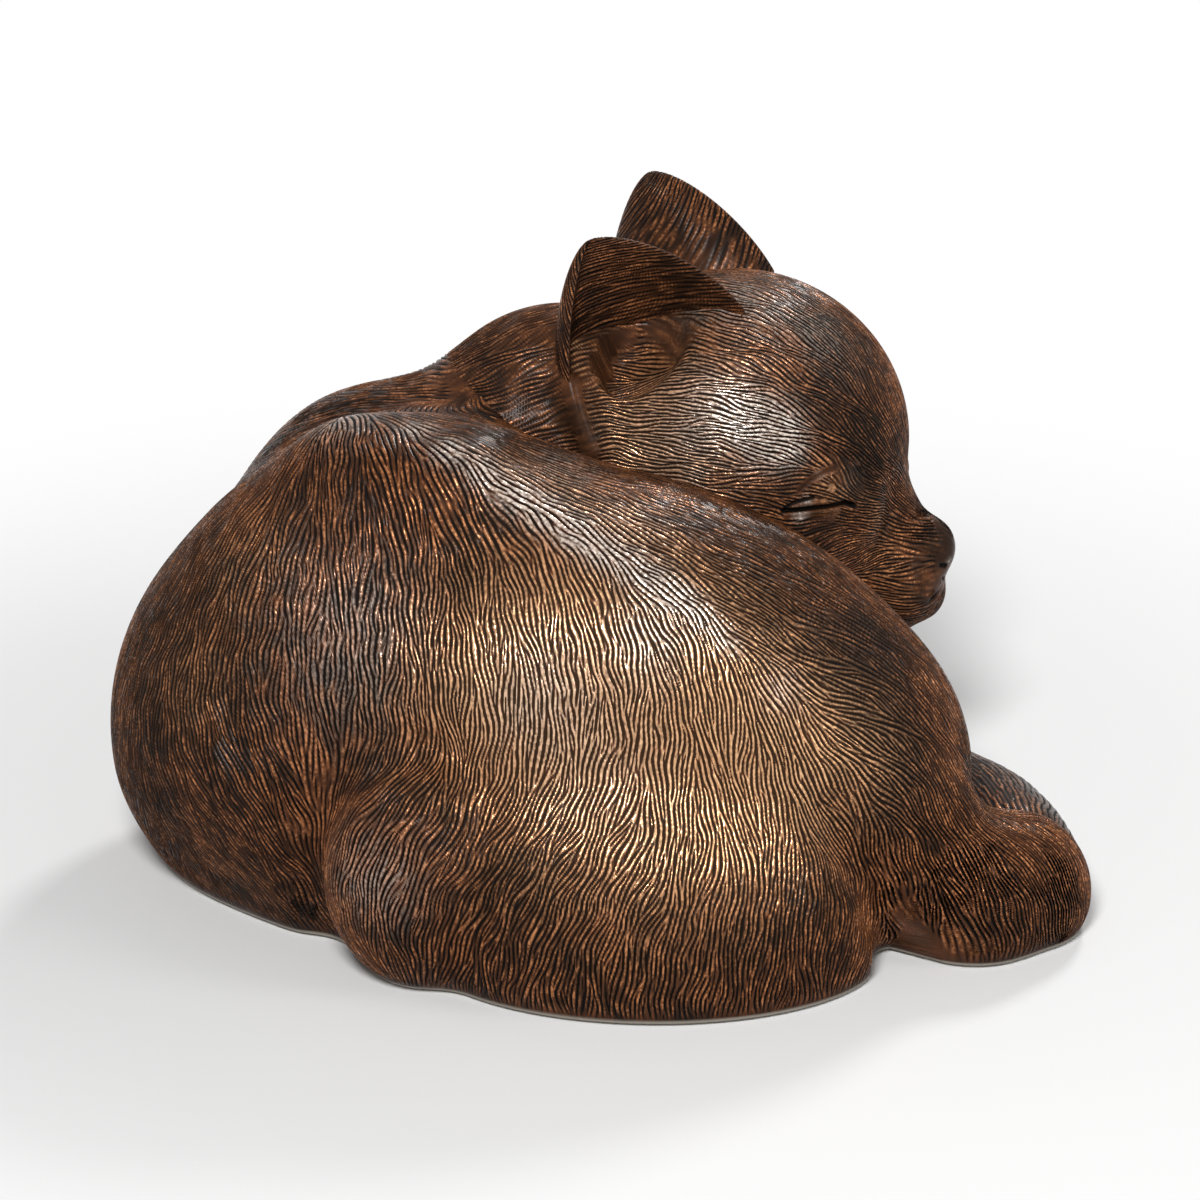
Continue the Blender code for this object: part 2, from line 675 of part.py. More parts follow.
# Dowels that peg the head and the tail to the body across their bond lines
dowels = {
    "neck_dowel": (neck_seat_point, neck_seat_normal, neck_dowel_radius, neck_dowel_length, (head, body)),
    "tail_dowel": (
        tail_joint, tail_joint_normal, tail_dowel_radius, tail_dowel_length,
        (limb_parts["tail_casting"], body),
    ),
}
for name, (middle, along, radius, length, holders) in dowels.items():
    add_part(rod_form(name, middle, along, radius, length), steel)
    hole = add_cutter(
        rod_form(name + "_hole", middle, along, radius + bond_gap, length + 2 * bond_gap)
    )
    for holder in holders:
        cut(holder, hole)

# The nests share the limbs' meshes, so the body is settled first and the limbs keep their cuts
bpy.context.view_layer.update()
settle_cuts(body)
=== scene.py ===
import json
import math
import time
import bpy
import numpy as np
from mathutils import Euler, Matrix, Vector

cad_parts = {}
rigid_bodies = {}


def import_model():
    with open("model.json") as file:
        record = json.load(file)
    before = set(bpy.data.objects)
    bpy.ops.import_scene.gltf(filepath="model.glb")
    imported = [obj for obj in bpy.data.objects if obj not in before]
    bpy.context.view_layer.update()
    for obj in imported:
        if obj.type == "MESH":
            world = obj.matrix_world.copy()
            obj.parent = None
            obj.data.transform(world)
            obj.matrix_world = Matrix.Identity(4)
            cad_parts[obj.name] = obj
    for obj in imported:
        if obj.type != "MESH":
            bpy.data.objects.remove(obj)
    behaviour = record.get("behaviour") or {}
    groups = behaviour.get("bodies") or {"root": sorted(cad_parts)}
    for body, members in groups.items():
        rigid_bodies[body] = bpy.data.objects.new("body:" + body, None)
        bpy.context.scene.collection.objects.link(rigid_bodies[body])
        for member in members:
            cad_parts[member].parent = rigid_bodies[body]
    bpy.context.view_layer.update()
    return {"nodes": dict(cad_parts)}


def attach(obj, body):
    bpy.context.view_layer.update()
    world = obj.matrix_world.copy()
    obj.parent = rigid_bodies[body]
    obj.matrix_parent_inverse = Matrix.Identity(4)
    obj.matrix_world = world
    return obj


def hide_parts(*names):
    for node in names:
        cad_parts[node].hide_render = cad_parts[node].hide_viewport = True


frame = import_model()
started = time.time()

# The statue is sculpted about its own middle, and then moved by this much to where the model stands
statueShift = np.array([0.0010, -0.0028, 0.0])
floorRim = 0.001                                # height of the castings' lower edge
quarterTurn = math.pi / 2


def report(text):
    # the seconds since the start, and what is done
    print(f"{time.time() - started:6.1f} s  {text}", flush=True)


def turned(degrees):
    # the matrix of a turn about X, then Y, then Z
    return np.array(Euler([math.radians(angle) for angle in degrees]).to_matrix())


def unit(vectors):
    # each vector divided by its length
    vectors = np.asarray(vectors, float)
    return vectors / np.maximum(np.linalg.norm(vectors, axis=-1, keepdims=True), 1e-12)


def softMin(first, second, width):
    # the lower of two distances, with a parabola of this width where they cross
    share = np.clip(0.5 + 0.5 * (second - first) / width, 0, 1)
    return second + (first - second) * share - width * share * (1 - share)


def softMax(first, second, width):
    # the higher of two distances, melted in the same way
    return -softMin(-first, -second, width)


def massDistance(points, centre, radii, degrees):
    # scales space until the turned ellipsoid is a unit ball, and divides by how fast that grows
    scaled = (points - np.array(centre)) @ turned(degrees) / np.array(radii)
    near = np.linalg.norm(scaled, axis=-1) + 1e-9
    return near * (near - 1) / (np.linalg.norm(scaled / np.array(radii), axis=-1) + 1e-9)


def massesDistance(points, masses, distance=None):
    # each mass melts into the ones before it over its own width
    for centre, radii, degrees, melt in masses:
        mass = massDistance(points, centre, radii, degrees)
        distance = mass if distance is None else softMin(distance, mass, melt)
    return distance


def chainDistance(points, path, radii, melt=0.004):
    # distance to straight links, less a radius that tapers along each
    distance = None
    for start, end, startRadius, endRadius in zip(path[:-1], path[1:], radii[:-1], radii[1:]):
        start = np.array(start)
        link = np.array(end) - start
        along = np.clip((points - start) @ link / (link @ link), 0, 1)
        away = np.linalg.norm(points - start - along[..., None] * link, axis=-1)
        piece = away - (startRadius + (endRadius - startRadius) * along)
        distance = piece if distance is None else softMin(distance, piece, melt)
    return distance


def smoothPath(path, share):
    # a cubic through the points, whose slope at each point is that from its neighbour before to the one after
    path = np.array(path)
    place = np.clip(share, 0, 1) * (len(path) - 1)
    index = np.minimum(place.astype(int), len(path) - 2)
    part = (place - index)[..., None]
    before, start = path[np.maximum(index - 1, 0)], path[index]
    end, after = path[index + 1], path[np.minimum(index + 2, len(path) - 1)]
    startSlope, endSlope = (end - before) / 2, (after - start) / 2
    point = (start * (1 + 2 * part) * (1 - part) ** 2 + end * part**2 * (3 - 2 * part)
             + startSlope * part * (1 - part) ** 2 - endSlope * part**2 * (1 - part))
    slope = ((end - start) * 6 * part * (1 - part) + startSlope * (1 - part) * (1 - 3 * part)
             + endSlope * part * (3 * part - 2))
    return point, unit(slope)


def betweenPoints(values, axis, place):
    # reads a grid between its points along one axis, in straight lines
    low = np.minimum(place.astype(int), values.shape[axis] - 2)
    part = (place - low).reshape([-1 if side == axis else 1 for side in range(values.ndim)])
    return np.take(values, low, axis) * (1 - part) + np.take(values, low + 1, axis) * part


def meetSurface(distance, origins, directions, reach):
    # rays walk in from outside until they meet the surface, on a coarse grid first, and the fine
    # grid starts from those lengths and settles them by the slope along each ray
    rows, columns = origins.shape[:2]
    coarseRows = np.linspace(0, rows - 1, max(rows // 4, 8)).round().astype(int)
    coarseColumns = np.linspace(0, columns - 1, max(columns // 4, 8)).round().astype(int)
    pick = np.ix_(coarseRows, coarseColumns)
    start, aim = origins[pick], directions[pick]
    travel = np.full(start.shape[:2], reach)
    for _ in range(48):
        travel = np.maximum(travel - 0.85 * distance(start + aim * travel[..., None]), 0.0005)
    for axis, known, wanted in ((0, coarseRows, rows), (1, coarseColumns, columns)):
        travel = betweenPoints(travel, axis, np.interp(np.arange(wanted), known, np.arange(len(known))))
    step = 0.00005
    for _ in range(3):
        here = distance(origins + directions * travel[..., None])
        slope = (distance(origins + directions * (travel + step)[..., None]) - here) / step
        travel = travel - np.clip(here / np.maximum(slope, 0.15), -0.0015, 0.0015)
    return origins + directions * travel[..., None]


def gridSlopes(points, around):
    # how the surface moves from one row, and from one column, to the next
    if around:
        downRows = (np.roll(points, -1, 0) - np.roll(points, 1, 0)) / 2
    else:
        downRows = np.gradient(points, axis=0)
    return downRows, np.gradient(points, axis=1)


def gridNormals(points, around, outwards):
    # square to both slopes, on the side that the rays point to
    downRows, downColumns = gridSlopes(points, around)
    normals = np.cross(downRows, downColumns)
    size = np.linalg.norm(normals, axis=-1, keepdims=True)
    flip = np.sign((normals * outwards).sum(-1, keepdims=True))
    return np.where(size > 1e-13, unit(normals * np.where(flip == 0, 1, flip)), outwards)


def evened(values, points, axis, count):
    # spaces a grid's parameter so that its steps along the surface come out even
    lengths = np.linalg.norm(np.diff(points, axis=axis), axis=-1)
    lengths = np.quantile(lengths, 0.75, axis=1 - axis)
    run = np.concatenate([[0], np.cumsum(lengths)])
    return np.interp(np.linspace(0, run[-1], count), run, values)


view = {
    "target": (0.0, 0.0, 0.077),                # sculpting coordinates
    "rise": 23.0,                               # degrees above the floor
    "distance": 1.4,
    "lens": 157.92,
    "sensor": 36,
    "picture": 1200,                            # pixels across the photograph
    "before": 0.25,                             # the statue lies no farther than this before the target
    "beyond": 0.3,
    "clip": (0.05, 40),
}


def viewRay(across, down):
    # from the camera through a place of the photograph
    rise = math.radians(view["rise"])
    ahead = np.array([0, math.cos(rise), -math.sin(rise)])
    above = np.array([0, math.sin(rise), math.cos(rise)])
    focal = view["lens"] / view["sensor"] * view["picture"]
    middle = view["picture"] / 2
    start = np.array(view["target"]) - ahead * view["distance"]
    across, down = np.asarray(across, float)[..., None], np.asarray(down, float)[..., None]
    aim = ahead * focal + np.array([1.0, 0, 0]) * (across - middle) - above * (down - middle)
    return start, unit(aim)


def seenAt(distance, across, down):
    # walks down each view ray to where it first meets the surface
    start, aim = viewRay(across, down)
    travel = np.full(aim.shape[:-1], view["distance"] - view["before"])
    for _ in range(120):
        travel = travel + 0.8 * np.maximum(distance(start + aim * travel[..., None]), 0)
        travel = np.minimum(travel, view["distance"] + view["beyond"])
    return start + aim * travel[..., None]


def inSurface(vectors, normals):
    # each vector less its share along the normal
    return vectors - (vectors * normals).sum(-1, keepdims=True) * normals


def combed(points, normals, lie, piece, distance):
    # the hair's own lie, overruled near each comb stroke by a bell-shaped share of the stroke's direction
    strokes = np.array(piece["comb"], float)
    starts = seenAt(distance, strokes[:, 0], strokes[:, 1])
    ends = seenAt(distance, strokes[:, 2], strokes[:, 3])
    middles, ways = (starts + ends) / 2, unit(ends - starts)
    pull = lie * 1.0
    for middle, way in zip(middles, ways):
        near = np.exp(-((points - middle) ** 2).sum(-1) / (2 * piece["combReach"] ** 2))
        share = piece["combStrength"] * near
        pull = pull + share[..., None] * way
    pull = unit(inSurface(pull, normals))
    # a slow wave to and fro keeps the strokes from lying too evenly
    wave = 0.22 * np.sin(points @ [210, 90, 330] + 2.0 * np.sin(points @ [-160, 240, 110]))
    wave += 0.16 * np.sin(points @ [-380, 310, 520] + 1.7 * np.sin(points @ [300, 420, -260]))
    return pull * np.cos(wave)[..., None] + np.cross(normals, pull) * np.sin(wave)[..., None]


def sampled(values, rows, columns, around):
    # reads a grid between its points, wrapping rows on a piece that closes on itself
    rowCount, columnCount = values.shape
    columns = np.clip(columns, 0, columnCount - 1.001)
    rows = rows % rowCount if around else np.clip(rows, 0, rowCount - 1.001)
    lowRow, lowColumn = rows.astype(np.int32), columns.astype(np.int32)
    rowPart, columnPart = rows - lowRow, columns - lowColumn
    lowRow = np.minimum(lowRow, rowCount - 1)
    nextRow = (lowRow + 1) % rowCount if around else np.minimum(lowRow + 1, rowCount - 1)
    flat = values.ravel()
    first, second = lowRow * columnCount + lowColumn, nextRow * columnCount + lowColumn
    upper = flat[first] * (1 - columnPart) + flat[first + 1] * columnPart
    lower = flat[second] * (1 - columnPart) + flat[second + 1] * columnPart
    return upper * (1 - rowPart) + lower * rowPart


def gridStep(points, way, around):
    # how many rows and columns one metre along a direction is, from the surface's two slopes
    downRows, downColumns = gridSlopes(points, around)
    rowRow, columnColumn = (downRows**2).sum(-1), (downColumns**2).sum(-1)
    rowColumn = (downRows * downColumns).sum(-1)
    alongRow, alongColumn = (downRows * way).sum(-1), (downColumns * way).sum(-1)
    spread = np.maximum(rowRow * columnColumn - rowColumn**2, 1e-4 * rowRow * columnColumn + 1e-22)
    stepRow = (alongRow * columnColumn - alongColumn * rowColumn) / spread
    stepColumn = (alongColumn * rowRow - alongRow * rowColumn) / spread
    return stepRow, stepColumn


engraving = {
    "turns": 5,                                 # how often the strokes are smeared and sharpened
    "smear": 0.0012,                            # how far one smear reaches along the hair
    "contrast": 1.5,
    "narrowing": 1.7,                           # above 1, grooves are narrower than ridges
    "mostCells": 12,                            # no smear reaches farther on the grid
}


def engraved(points, normals, way, pitch, around, seed, smear=engraving["smear"]):
    # hair strokes: noise is smeared along the hair, sharpened across it at half the stroke pitch and
    # squashed to lie between -1 and 1, over and over, until long ridges that fork and end are left.
    # Beside them, a plain smear of the same kind gives each ridge a tone of its own
    rows, columns = points.shape[:2]
    chance = np.random.default_rng(seed)
    rowAt, columnAt = np.meshgrid(np.arange(rows, dtype=float), np.arange(columns, dtype=float), indexing="ij")
    alongRow, alongColumn = gridStep(points, way, around)
    sideRow, sideColumn = gridStep(points, np.cross(normals, way), around)

    def moved(values, rowStep, columnStep, length):
        rowMove = np.clip(rowStep * length, -engraving["mostCells"], engraving["mostCells"])
        columnMove = np.clip(columnStep * length, -engraving["mostCells"], engraving["mostCells"])
        return sampled(values, rowAt + rowMove, columnAt + columnMove, around)

    def smeared(values, reach):
        both = moved(values, alongRow, alongColumn, reach) + moved(values, alongRow, alongColumn, -reach)
        return 0.4 * values + 0.3 * both

    strokes = smeared(chance.uniform(-1, 1, (rows, columns)), smear / 4)
    for _ in range(engraving["turns"]):
        strokes = smeared(smeared(strokes, smear), smear / 2)
        beside = (moved(strokes, sideRow, sideColumn, pitch / 2)
                  + moved(strokes, sideRow, sideColumn, -pitch / 2))
        strokes = strokes - 0.5 * beside
        strokes = np.tanh(engraving["contrast"] * strokes / (strokes.std() + 1e-9))
    tone = chance.uniform(-1, 1, (rows, columns))
    for reach in (smear / 4, smear / 2, smear, smear):
        tone = smeared(tone, reach)
    grooves = 1 - 2 * ((1 - strokes) / 2) ** engraving["narrowing"]
    return grooves, np.clip(0.5 + 0.25 * tone / (tone.std() + 1e-9), 0, 1)


def patches(points, spots, distance=None):
    # a sum of soft round patches: place, radius and amount. A place with two numbers is one of the
    # photograph's pixels, and lies where its view ray meets the surface
    total = np.zeros(points.shape[:-1])
    pixels = np.array([place for place, _, _ in spots if len(place) == 2], float).reshape(-1, 2)
    found = iter(seenAt(distance, *pixels.T)) if len(pixels) else None
    for place, radius, amount in spots:
        middle = np.array(place) if len(place) == 3 else next(found)
        total += amount * np.exp(-((points - middle) ** 2).sum(-1) / (2 * radius**2))
    return total


def wear(points, piece, distance):
    # how far each point is rubbed or given a painted gold highlight, given a painted silver highlight, and given
    # painted shade, by the piece's own spots
    return {key: np.clip(patches(points, piece[spots], distance), 0, 1)
            for key, spots in (("rubAndLight", "rubbedAndLit"), ("highlightAmount", "paintedHighlights"), ("darkAndShaded", "darkAndShadedSpots"))}


def rawEdge(height):
    # one at a casting's lower edge, and zero from 1.2 mm above it
    return 1 - np.clip((height - 0.0004) / 0.0008, 0, 1)


def meshPiece(name, vertices, faces, normals, values, material, nodes):
    # puts whole arrays into a mesh: points, faces of four corners or of three and a -1, the normals of
    # the engraved grid and the values that drive the colour. The piece stands for the named nodes
    mesh = bpy.data.meshes.new(name)
    mesh.vertices.add(len(vertices))
    mesh.vertices.foreach_set("co", (vertices + statueShift).astype(np.float32).ravel())
    sides = (faces[:, 3] >= 0).astype(int) + 3
    corners = faces.ravel()[(np.arange(4) < sides[:, None]).ravel()]
    mesh.loops.add(len(corners))
    mesh.loops.foreach_set("vertex_index", corners.astype(np.int32))
    mesh.polygons.add(len(faces))
    mesh.polygons.foreach_set("loop_start", (np.cumsum(sides) - sides).astype(np.int32))
    mesh.polygons.foreach_set("use_smooth", np.ones(len(faces), bool))
    mesh.update(calc_edges=True)
    for key, value in values.items():
        layer = mesh.attributes.new(key, "FLOAT", "POINT")
        layer.data.foreach_set("value", value.astype(np.float32))
    mesh.normals_split_custom_set_from_vertices(normals.astype(np.float32))
    mesh.materials.append(material)
    piece = bpy.data.objects.new(name, mesh)
    bpy.context.scene.collection.objects.link(piece)
    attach(piece, "root")
    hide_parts(*nodes)
    return piece


def gridFaces(rows, columns, around, flip):
    # four corners for each cell, the last row joined to the first where the piece closes on itself
    row, column = np.meshgrid(np.arange(rows if around else rows - 1), np.arange(columns - 1), indexing="ij")
    nextRow = (row + 1) % rows
    quads = np.stack([row * columns + column, nextRow * columns + column,
                      nextRow * columns + column + 1, row * columns + column + 1], -1).reshape(-1, 4)
    return quads[:, ::-1] if flip else quads


def fanFaces(ring, apex, flip):
    # triangles from a closed ring of points to one point
    following = np.roll(ring, -1)
    if flip:
        ring, following = following, ring
    return np.stack([ring, following, np.full(len(ring), apex), np.full(len(ring), -1)], -1)


def closedBands(name, points, normals, values, cuts, apexes, poles, material, nodes):
    # a surface whose columns are closed loops is cut into bands. A band that starts or ends at a pole
    # is drawn together to that point, and any other end is closed by a fan to a point inside
    rows = points.shape[0]
    downRows, downColumns = gridSlopes(points, True)
    flip = bool((np.cross(downRows, downColumns) * normals).sum() < 0)
    made = []
    for number, (first, last) in enumerate(zip(cuts[:-1], cuts[1:]), start=1):
        startPole, endPole = poles[0] and first == 0, poles[1] and last == points.shape[1] - 1
        low, high = first + startPole, last + 1 - endPole
        width = high - low
        faces = [gridFaces(rows, width, True, flip)]
        vertices = [points[:, low:high].reshape(-1, 3)]
        normal = [normals[:, low:high].reshape(-1, 3)]
        kept = {key: [value[:, low:high].ravel()] for key, value in values.items()}
        count = rows * width
        for column, pole, whole in ((0, startPole, first), (width - 1, endPole, last)):
            turn = (column == 0) != flip
            if pole:
                ring = np.arange(rows) * width + column
                faces.append(fanFaces(ring, count, turn))
                vertices.append(points[:, whole].mean(0)[None])
                normal.append(unit(normals[:, whole].mean(0))[None])
                for key, value in values.items():
                    kept[key].append([value[:, whole].mean()])
                count += 1
            else:
                # the ring is repeated, so that the end keeps a sharp edge
                faces.append(fanFaces(count + np.arange(rows), count + rows, turn))
                vertices.append(np.concatenate([points[:, whole], [apexes[whole]]]))
                facing = unit((points[:, whole] - points[:, whole - 1 if column else whole + 1]).mean(0))
                normal.append(np.tile(facing, (rows + 1, 1)))
                for key, value in values.items():
                    kept[key].append(np.append(value[:, whole], 0))
                count += rows + 1
        made.append(meshPiece(name if len(cuts) == 2 else f"{name}_{number}", np.concatenate(vertices),
                              np.concatenate(faces), np.concatenate(normal),
                              {key: np.concatenate(value) for key, value in kept.items()},
                              material, nodes))
    return made


def poleRays(middle, halfLength, axis, side, leans, rounds):
    # rays that fan out from a short line: round it by one angle, and tipping towards its ends by the
    # other, while their starts slide along it
    axis, side = unit(axis), unit(side)
    top = np.cross(axis, side)
    top = top if top[2] > 0 else -top
    lean, turn = np.meshgrid(leans, rounds)
    aim = (axis * np.sin(lean)[..., None]
           + (side * np.cos(turn)[..., None] + top * np.sin(turn)[..., None]) * np.cos(lean)[..., None])
    starts = np.array(middle) + axis * (halfLength * lean / quarterTurn)[..., None]
    return starts, aim


roughSteps = 120                                # rays each way for the first, rough surface


def bandCuts(piece):
    # the columns at which a piece's bands start and end
    return np.linspace(0, piece["columns"] - 1, piece["bands"] + 1).round().astype(int)


body = {
    # centre, radii, turn in degrees, melting width
    "trunk": [
        ((-0.058, -0.004, 0.042), (0.070, 0.064, 0.076), (0, 0, 0), 0.001),
        ((-0.006, -0.020, 0.060), (0.060, 0.056, 0.060), (0, 16, 0), 0.020),
        ((-0.0355, -0.0090, 0.0902), (0.0489, 0.0289, 0.0396), (0, 21.5, -15), 0.012),
        ((0.030, -0.0217, 0.0490), (0.054, 0.054, 0.0554), (0, 24, 0), 0.020),
        ((0.058, -0.0257, 0.0359), (0.039, 0.047, 0.042), (0, 30, -10), 0.016),
        ((-0.070, -0.016, 0.084), (0.030, 0.028, 0.038), (0, 20, 0), 0.022),
        ((-0.062, 0.034, 0.078), (0.034, 0.034, 0.042), (0, 0, 0), 0.018),
        ((-0.084, 0.008, 0.042), (0.040, 0.050, 0.042), (0, 0, 0), 0.020),
        ((0.002, 0.024, 0.006), (0.078, 0.040, 0.034), (0, 0, 0), 0.012),
    ],
    "hindLeg": [
        ((0.010, -0.057, 0.018), (0.066, 0.043, 0.046), (0, 10, -2), 0.010),
        ((-0.046, -0.062, 0.030), (0.027, 0.028, 0.036), (0, -10, 10), 0.005),
    ],
    "spine": [
        (-0.064, -0.013, 0.1150), (-0.038, -0.024, 0.1160), (-0.013, -0.034, 0.1045),
        (0.013, -0.042, 0.0880), (0.039, -0.048, 0.0695), (0.064, -0.049, 0.0500), (0.086, -0.045, 0.0330),
    ],
    "spineRadii": [0.0155, 0.0145, 0.0115, 0.0115, 0.0115, 0.0115, 0.0115],
    "spineMelt": 0.010,
    # the crease in front of the knee and the one between thigh and tail: path, half width, depth
    "creases": [
        ([(-0.0407, -0.0701, 0.0658), (-0.0509, -0.0714, 0.0639), (-0.0611, -0.0715, 0.0592),
          (-0.0696, -0.0695, 0.0492), (-0.0744, -0.0665, 0.0353), (-0.0751, -0.0596, 0.0190),
          (-0.0730, -0.0512, 0.0032)], 0.0062, 0.0034),
        ([(0.0608, -0.0730, 0.0492), (0.0644, -0.0738, 0.0411), (0.0687, -0.0733, 0.0318),
          (0.0727, -0.0715, 0.0206), (0.0758, -0.0654, 0.0074), (0.0765, -0.0620, 0.0)], 0.0058, 0.0058),
    ],
    "tailRoot": [(0.076, -0.046, 0.022), (0.098, -0.045, 0.012), (0.108, -0.038, 0.010)],
    "tailRootRadius": 0.0215,
    "tailRootMelt": 0.007,
    "tuckSlope": (-0.55, -0.65, -0.52),
    "tuckReach": 0.074,
    "tuckMelt": 0.014,
    "neck": [
        ((-0.0098, 0.0404, 0.1033), (0.0402, 0.0301, 0.0418), (0, -20, 10), 0.001),
        ((-0.0512, 0.0300, 0.0842), (0.0409, 0.0339, 0.0388), (0, -20, 0), 0.018),
    ],
    "neckMelt": 0.014,
    "seatPoint": (-0.022, 0.034, 0.0975),
    "seatNormal": (0.88, 0.10, 0.46),
    "overlap": 0.004,
    "recede": 6.0,
    "axisMiddle": (0.007, -0.022, floorRim),
    "axisHalf": 0.044,
    "axis": (0.963, -0.269, 0),
    "rowsNear": 370,                            # from the near edge up to this angle round the axis
    "nearTurn": 112.0,
    "rowsFar": 150,
    "columns": 1080,
    "bands": 7,
    "pitch": 0.00096,                           # from one hair stroke to the next
    "depth": 0.00026,
    "seed": 3,
    "smoothFoot": 0.001,                        # no hair up to here, and full depth this much higher
    "fadeHeight": 0.004,
    "fanHeight": 0.03,                          # where the fans that close the bands meet, over the axis
    "recessTop": 0.0072,
    "recessGap": 0.0003,
    "reach": 0.20,                              # farther from the axis than any of the surface
    "fillingHole": ((-0.010, -0.022), 0.016),   # in the plate: its middle, and a reach that holds its edge
    "combReach": 0.010,                         # how wide one comb stroke is felt
    "combStrength": 3.0,
    # how far the hair turns from the spine, in degrees, at distances from it in mm, on either side
    "nearLie": ([0, 8, 25, 50, 90, 200], [0, 26, 60, 84, 94, 94]),
    "farLie": ([0, 8, 20, 45, 90, 200], [0, 14, 22, 40, 75, 85]),
    # where the comb goes, as it shows in the photograph: from, to
    "comb": [
        # the whorl on the shoulder
        (345, 420, 315, 460), (352, 425, 345, 470), (365, 425, 385, 470), (375, 418, 430, 440),
        (340, 412, 296, 432),
        # left flank
        (305, 453, 276, 503), (349, 453, 335, 503), (393, 453, 396, 497), (437, 468, 446, 503),
        (466, 477, 490, 521), (510, 497, 540, 544), (217, 527, 188, 585), (173, 585, 144, 644),
        (129, 673, 123, 717), (261, 585, 247, 644), (320, 556, 311, 615), (393, 556, 390, 615),
        (452, 585, 452, 629), (510, 585, 519, 629), (144, 732, 150, 776), (188, 717, 197, 761),
        (173, 776, 223, 837), (217, 746, 264, 805), (261, 746, 290, 790), (320, 702, 323, 746),
        (364, 673, 364, 717), (250, 830, 300, 880), (200, 830, 262, 890),
        # middle of the flank
        (440, 730, 446, 760), (500, 745, 494, 775), (575, 730, 577, 760), (650, 718, 629, 790),
        (590, 775, 560, 820), (695, 745, 701, 784), (740, 760, 749, 799), (600, 600, 612, 650),
        (680, 660, 690, 710), (560, 640, 566, 690),
        # knee and thigh
        (410, 775, 350, 814), (395, 799, 344, 856), (329, 826, 320, 880), (359, 850, 347, 910),
        (395, 850, 374, 910), (335, 925, 365, 976), (344, 900, 385, 970), (470, 805, 434, 850),
        (500, 835, 452, 895), (560, 835, 518, 895), (620, 850, 584, 910), (665, 886, 629, 946),
        (455, 910, 434, 955), (530, 925, 509, 964), (695, 895, 680, 955), (440, 976, 440, 1000),
        (506, 979, 506, 1003), (600, 985, 600, 1012), (700, 985, 700, 1012),
        # rump and the start of the tail
        (775, 735, 773, 782), (822, 771, 839, 806), (870, 771, 905, 813), (858, 799, 872, 832),
        (940, 818, 988, 865), (905, 841, 914, 889), (952, 841, 966, 889), (999, 853, 1023, 900),
        (1035, 877, 1046, 907), (822, 889, 820, 936), (858, 889, 860, 948), (787, 900, 773, 936),
        (799, 971, 799, 990),
        # beyond the spine
        (846, 707, 886, 719), (863, 742, 905, 757), (893, 724, 917, 747), (929, 724, 947, 754),
        (952, 759, 966, 778), (379, 412, 437, 418), (437, 433, 496, 447), (481, 453, 540, 468),
        (510, 491, 557, 509), (600, 500, 660, 530), (650, 560, 700, 590), (700, 530, 760, 560),
        (760, 600, 820, 630), (800, 540, 850, 580), (850, 640, 900, 680), (820, 690, 870, 700),
        (300, 408, 268, 445), (400, 388, 350, 396), (450, 385, 410, 392), (500, 350, 470, 385),
    ],
    # how the finish has worn, and where highlight and shade are painted on it: place, radius, amount
    "rubbedAndLit": [
        # bright bronze shows through where the statue is stroked, with painted highlights in gold on the middle of
        # the flank and along the back
        ((590, 690), 0.022, 1.15), ((700, 730), 0.020, 0.75), ((640, 810), 0.018, 0.65),
        ((480, 690), 0.014, 0.35), ((740, 800), 0.014, 0.60), ((835, 760), 0.012, 0.50),
        ((550, 640), 0.014, 0.30), ((690, 660), 0.010, 0.40), ((790, 720), 0.008, 0.40),
        ((240, 560), 0.010, 0.18), ((200, 680), 0.010, 0.15), ((505, 468), 0.0045, 0.40),
        ((560, 492), 0.0055, 0.40), ((615, 520), 0.0055, 0.40), ((670, 553), 0.0055, 0.35),
        ((725, 598), 0.0050, 0.30), ((770, 650), 0.0050, 0.25),
    ],
    "paintedHighlights": [
        # painted highlights in silver: along the highest line of the back, and on the shoulder, flank and knee
        ((415, 430), 0.0036, 0.70), ((450, 450), 0.0034, 0.90), ((485, 472), 0.0034, 1.10),
        ((515, 492), 0.0034, 1.30), ((545, 512), 0.0035, 1.45), ((575, 532), 0.0035, 1.45),
        ((603, 550), 0.0034, 1.40), ((630, 567), 0.0033, 1.35), ((657, 583), 0.0032, 1.25),
        ((682, 600), 0.0030, 1.10), ((705, 619), 0.0028, 0.90), ((728, 642), 0.0027, 0.70),
        ((345, 422), 0.0060, 0.40), ((600, 780), 0.0120, 0.15), ((350, 640), 0.0140, 0.25),
        ((375, 880), 0.0080, 0.30), ((540, 690), 0.0100, 0.40), ((650, 640), 0.0070, 0.60),
        ((780, 690), 0.0040, 0.40), ((640, 520), 0.0080, 0.22), ((560, 470), 0.0080, 0.25),
    ],
    "darkAndShadedSpots": [
        # painted shade: places left dark and dull where shade falls, on the left flank, the far side of the back,
        # beside the neck and under the tail
        ((150, 650), 0.024, 0.75), ((150, 820), 0.020, 0.75), ((260, 900), 0.016, 0.60),
        ((780, 600), 0.014, 0.60), ((850, 680), 0.012, 0.85), ((700, 545), 0.010, 0.35),
        ((900, 760), 0.012, 0.70), ((880, 640), 0.012, 0.90), ((360, 380), 0.014, 0.70),
        ((250, 470), 0.014, 0.60), ((490, 437), 0.007, 0.90), ((760, 530), 0.010, 0.50),
        ((0.110, -0.050, 0.005), 0.016, 0.6),
    ],
}


def neckDistance(points):
    # the neck's masses, melted into one
    return massesDistance(points, body["neck"])


def seatSide(points):
    # how far past the plane that the head sits on, towards the head
    return (points - np.array(body["seatPoint"])) @ unit(body["seatNormal"])


def bareTrunk(points):
    # the trunk's masses and the spine melted into one, tucked in by a plane at the chest, with the
    # hind leg melted onto it
    distance = massesDistance(points, body["trunk"])
    distance = softMin(distance, chainDistance(points, body["spine"], body["spineRadii"]), body["spineMelt"])
    distance = softMax(distance, points @ unit(body["tuckSlope"]) - body["tuckReach"], body["tuckMelt"])
    return massesDistance(points, body["hindLeg"], distance)


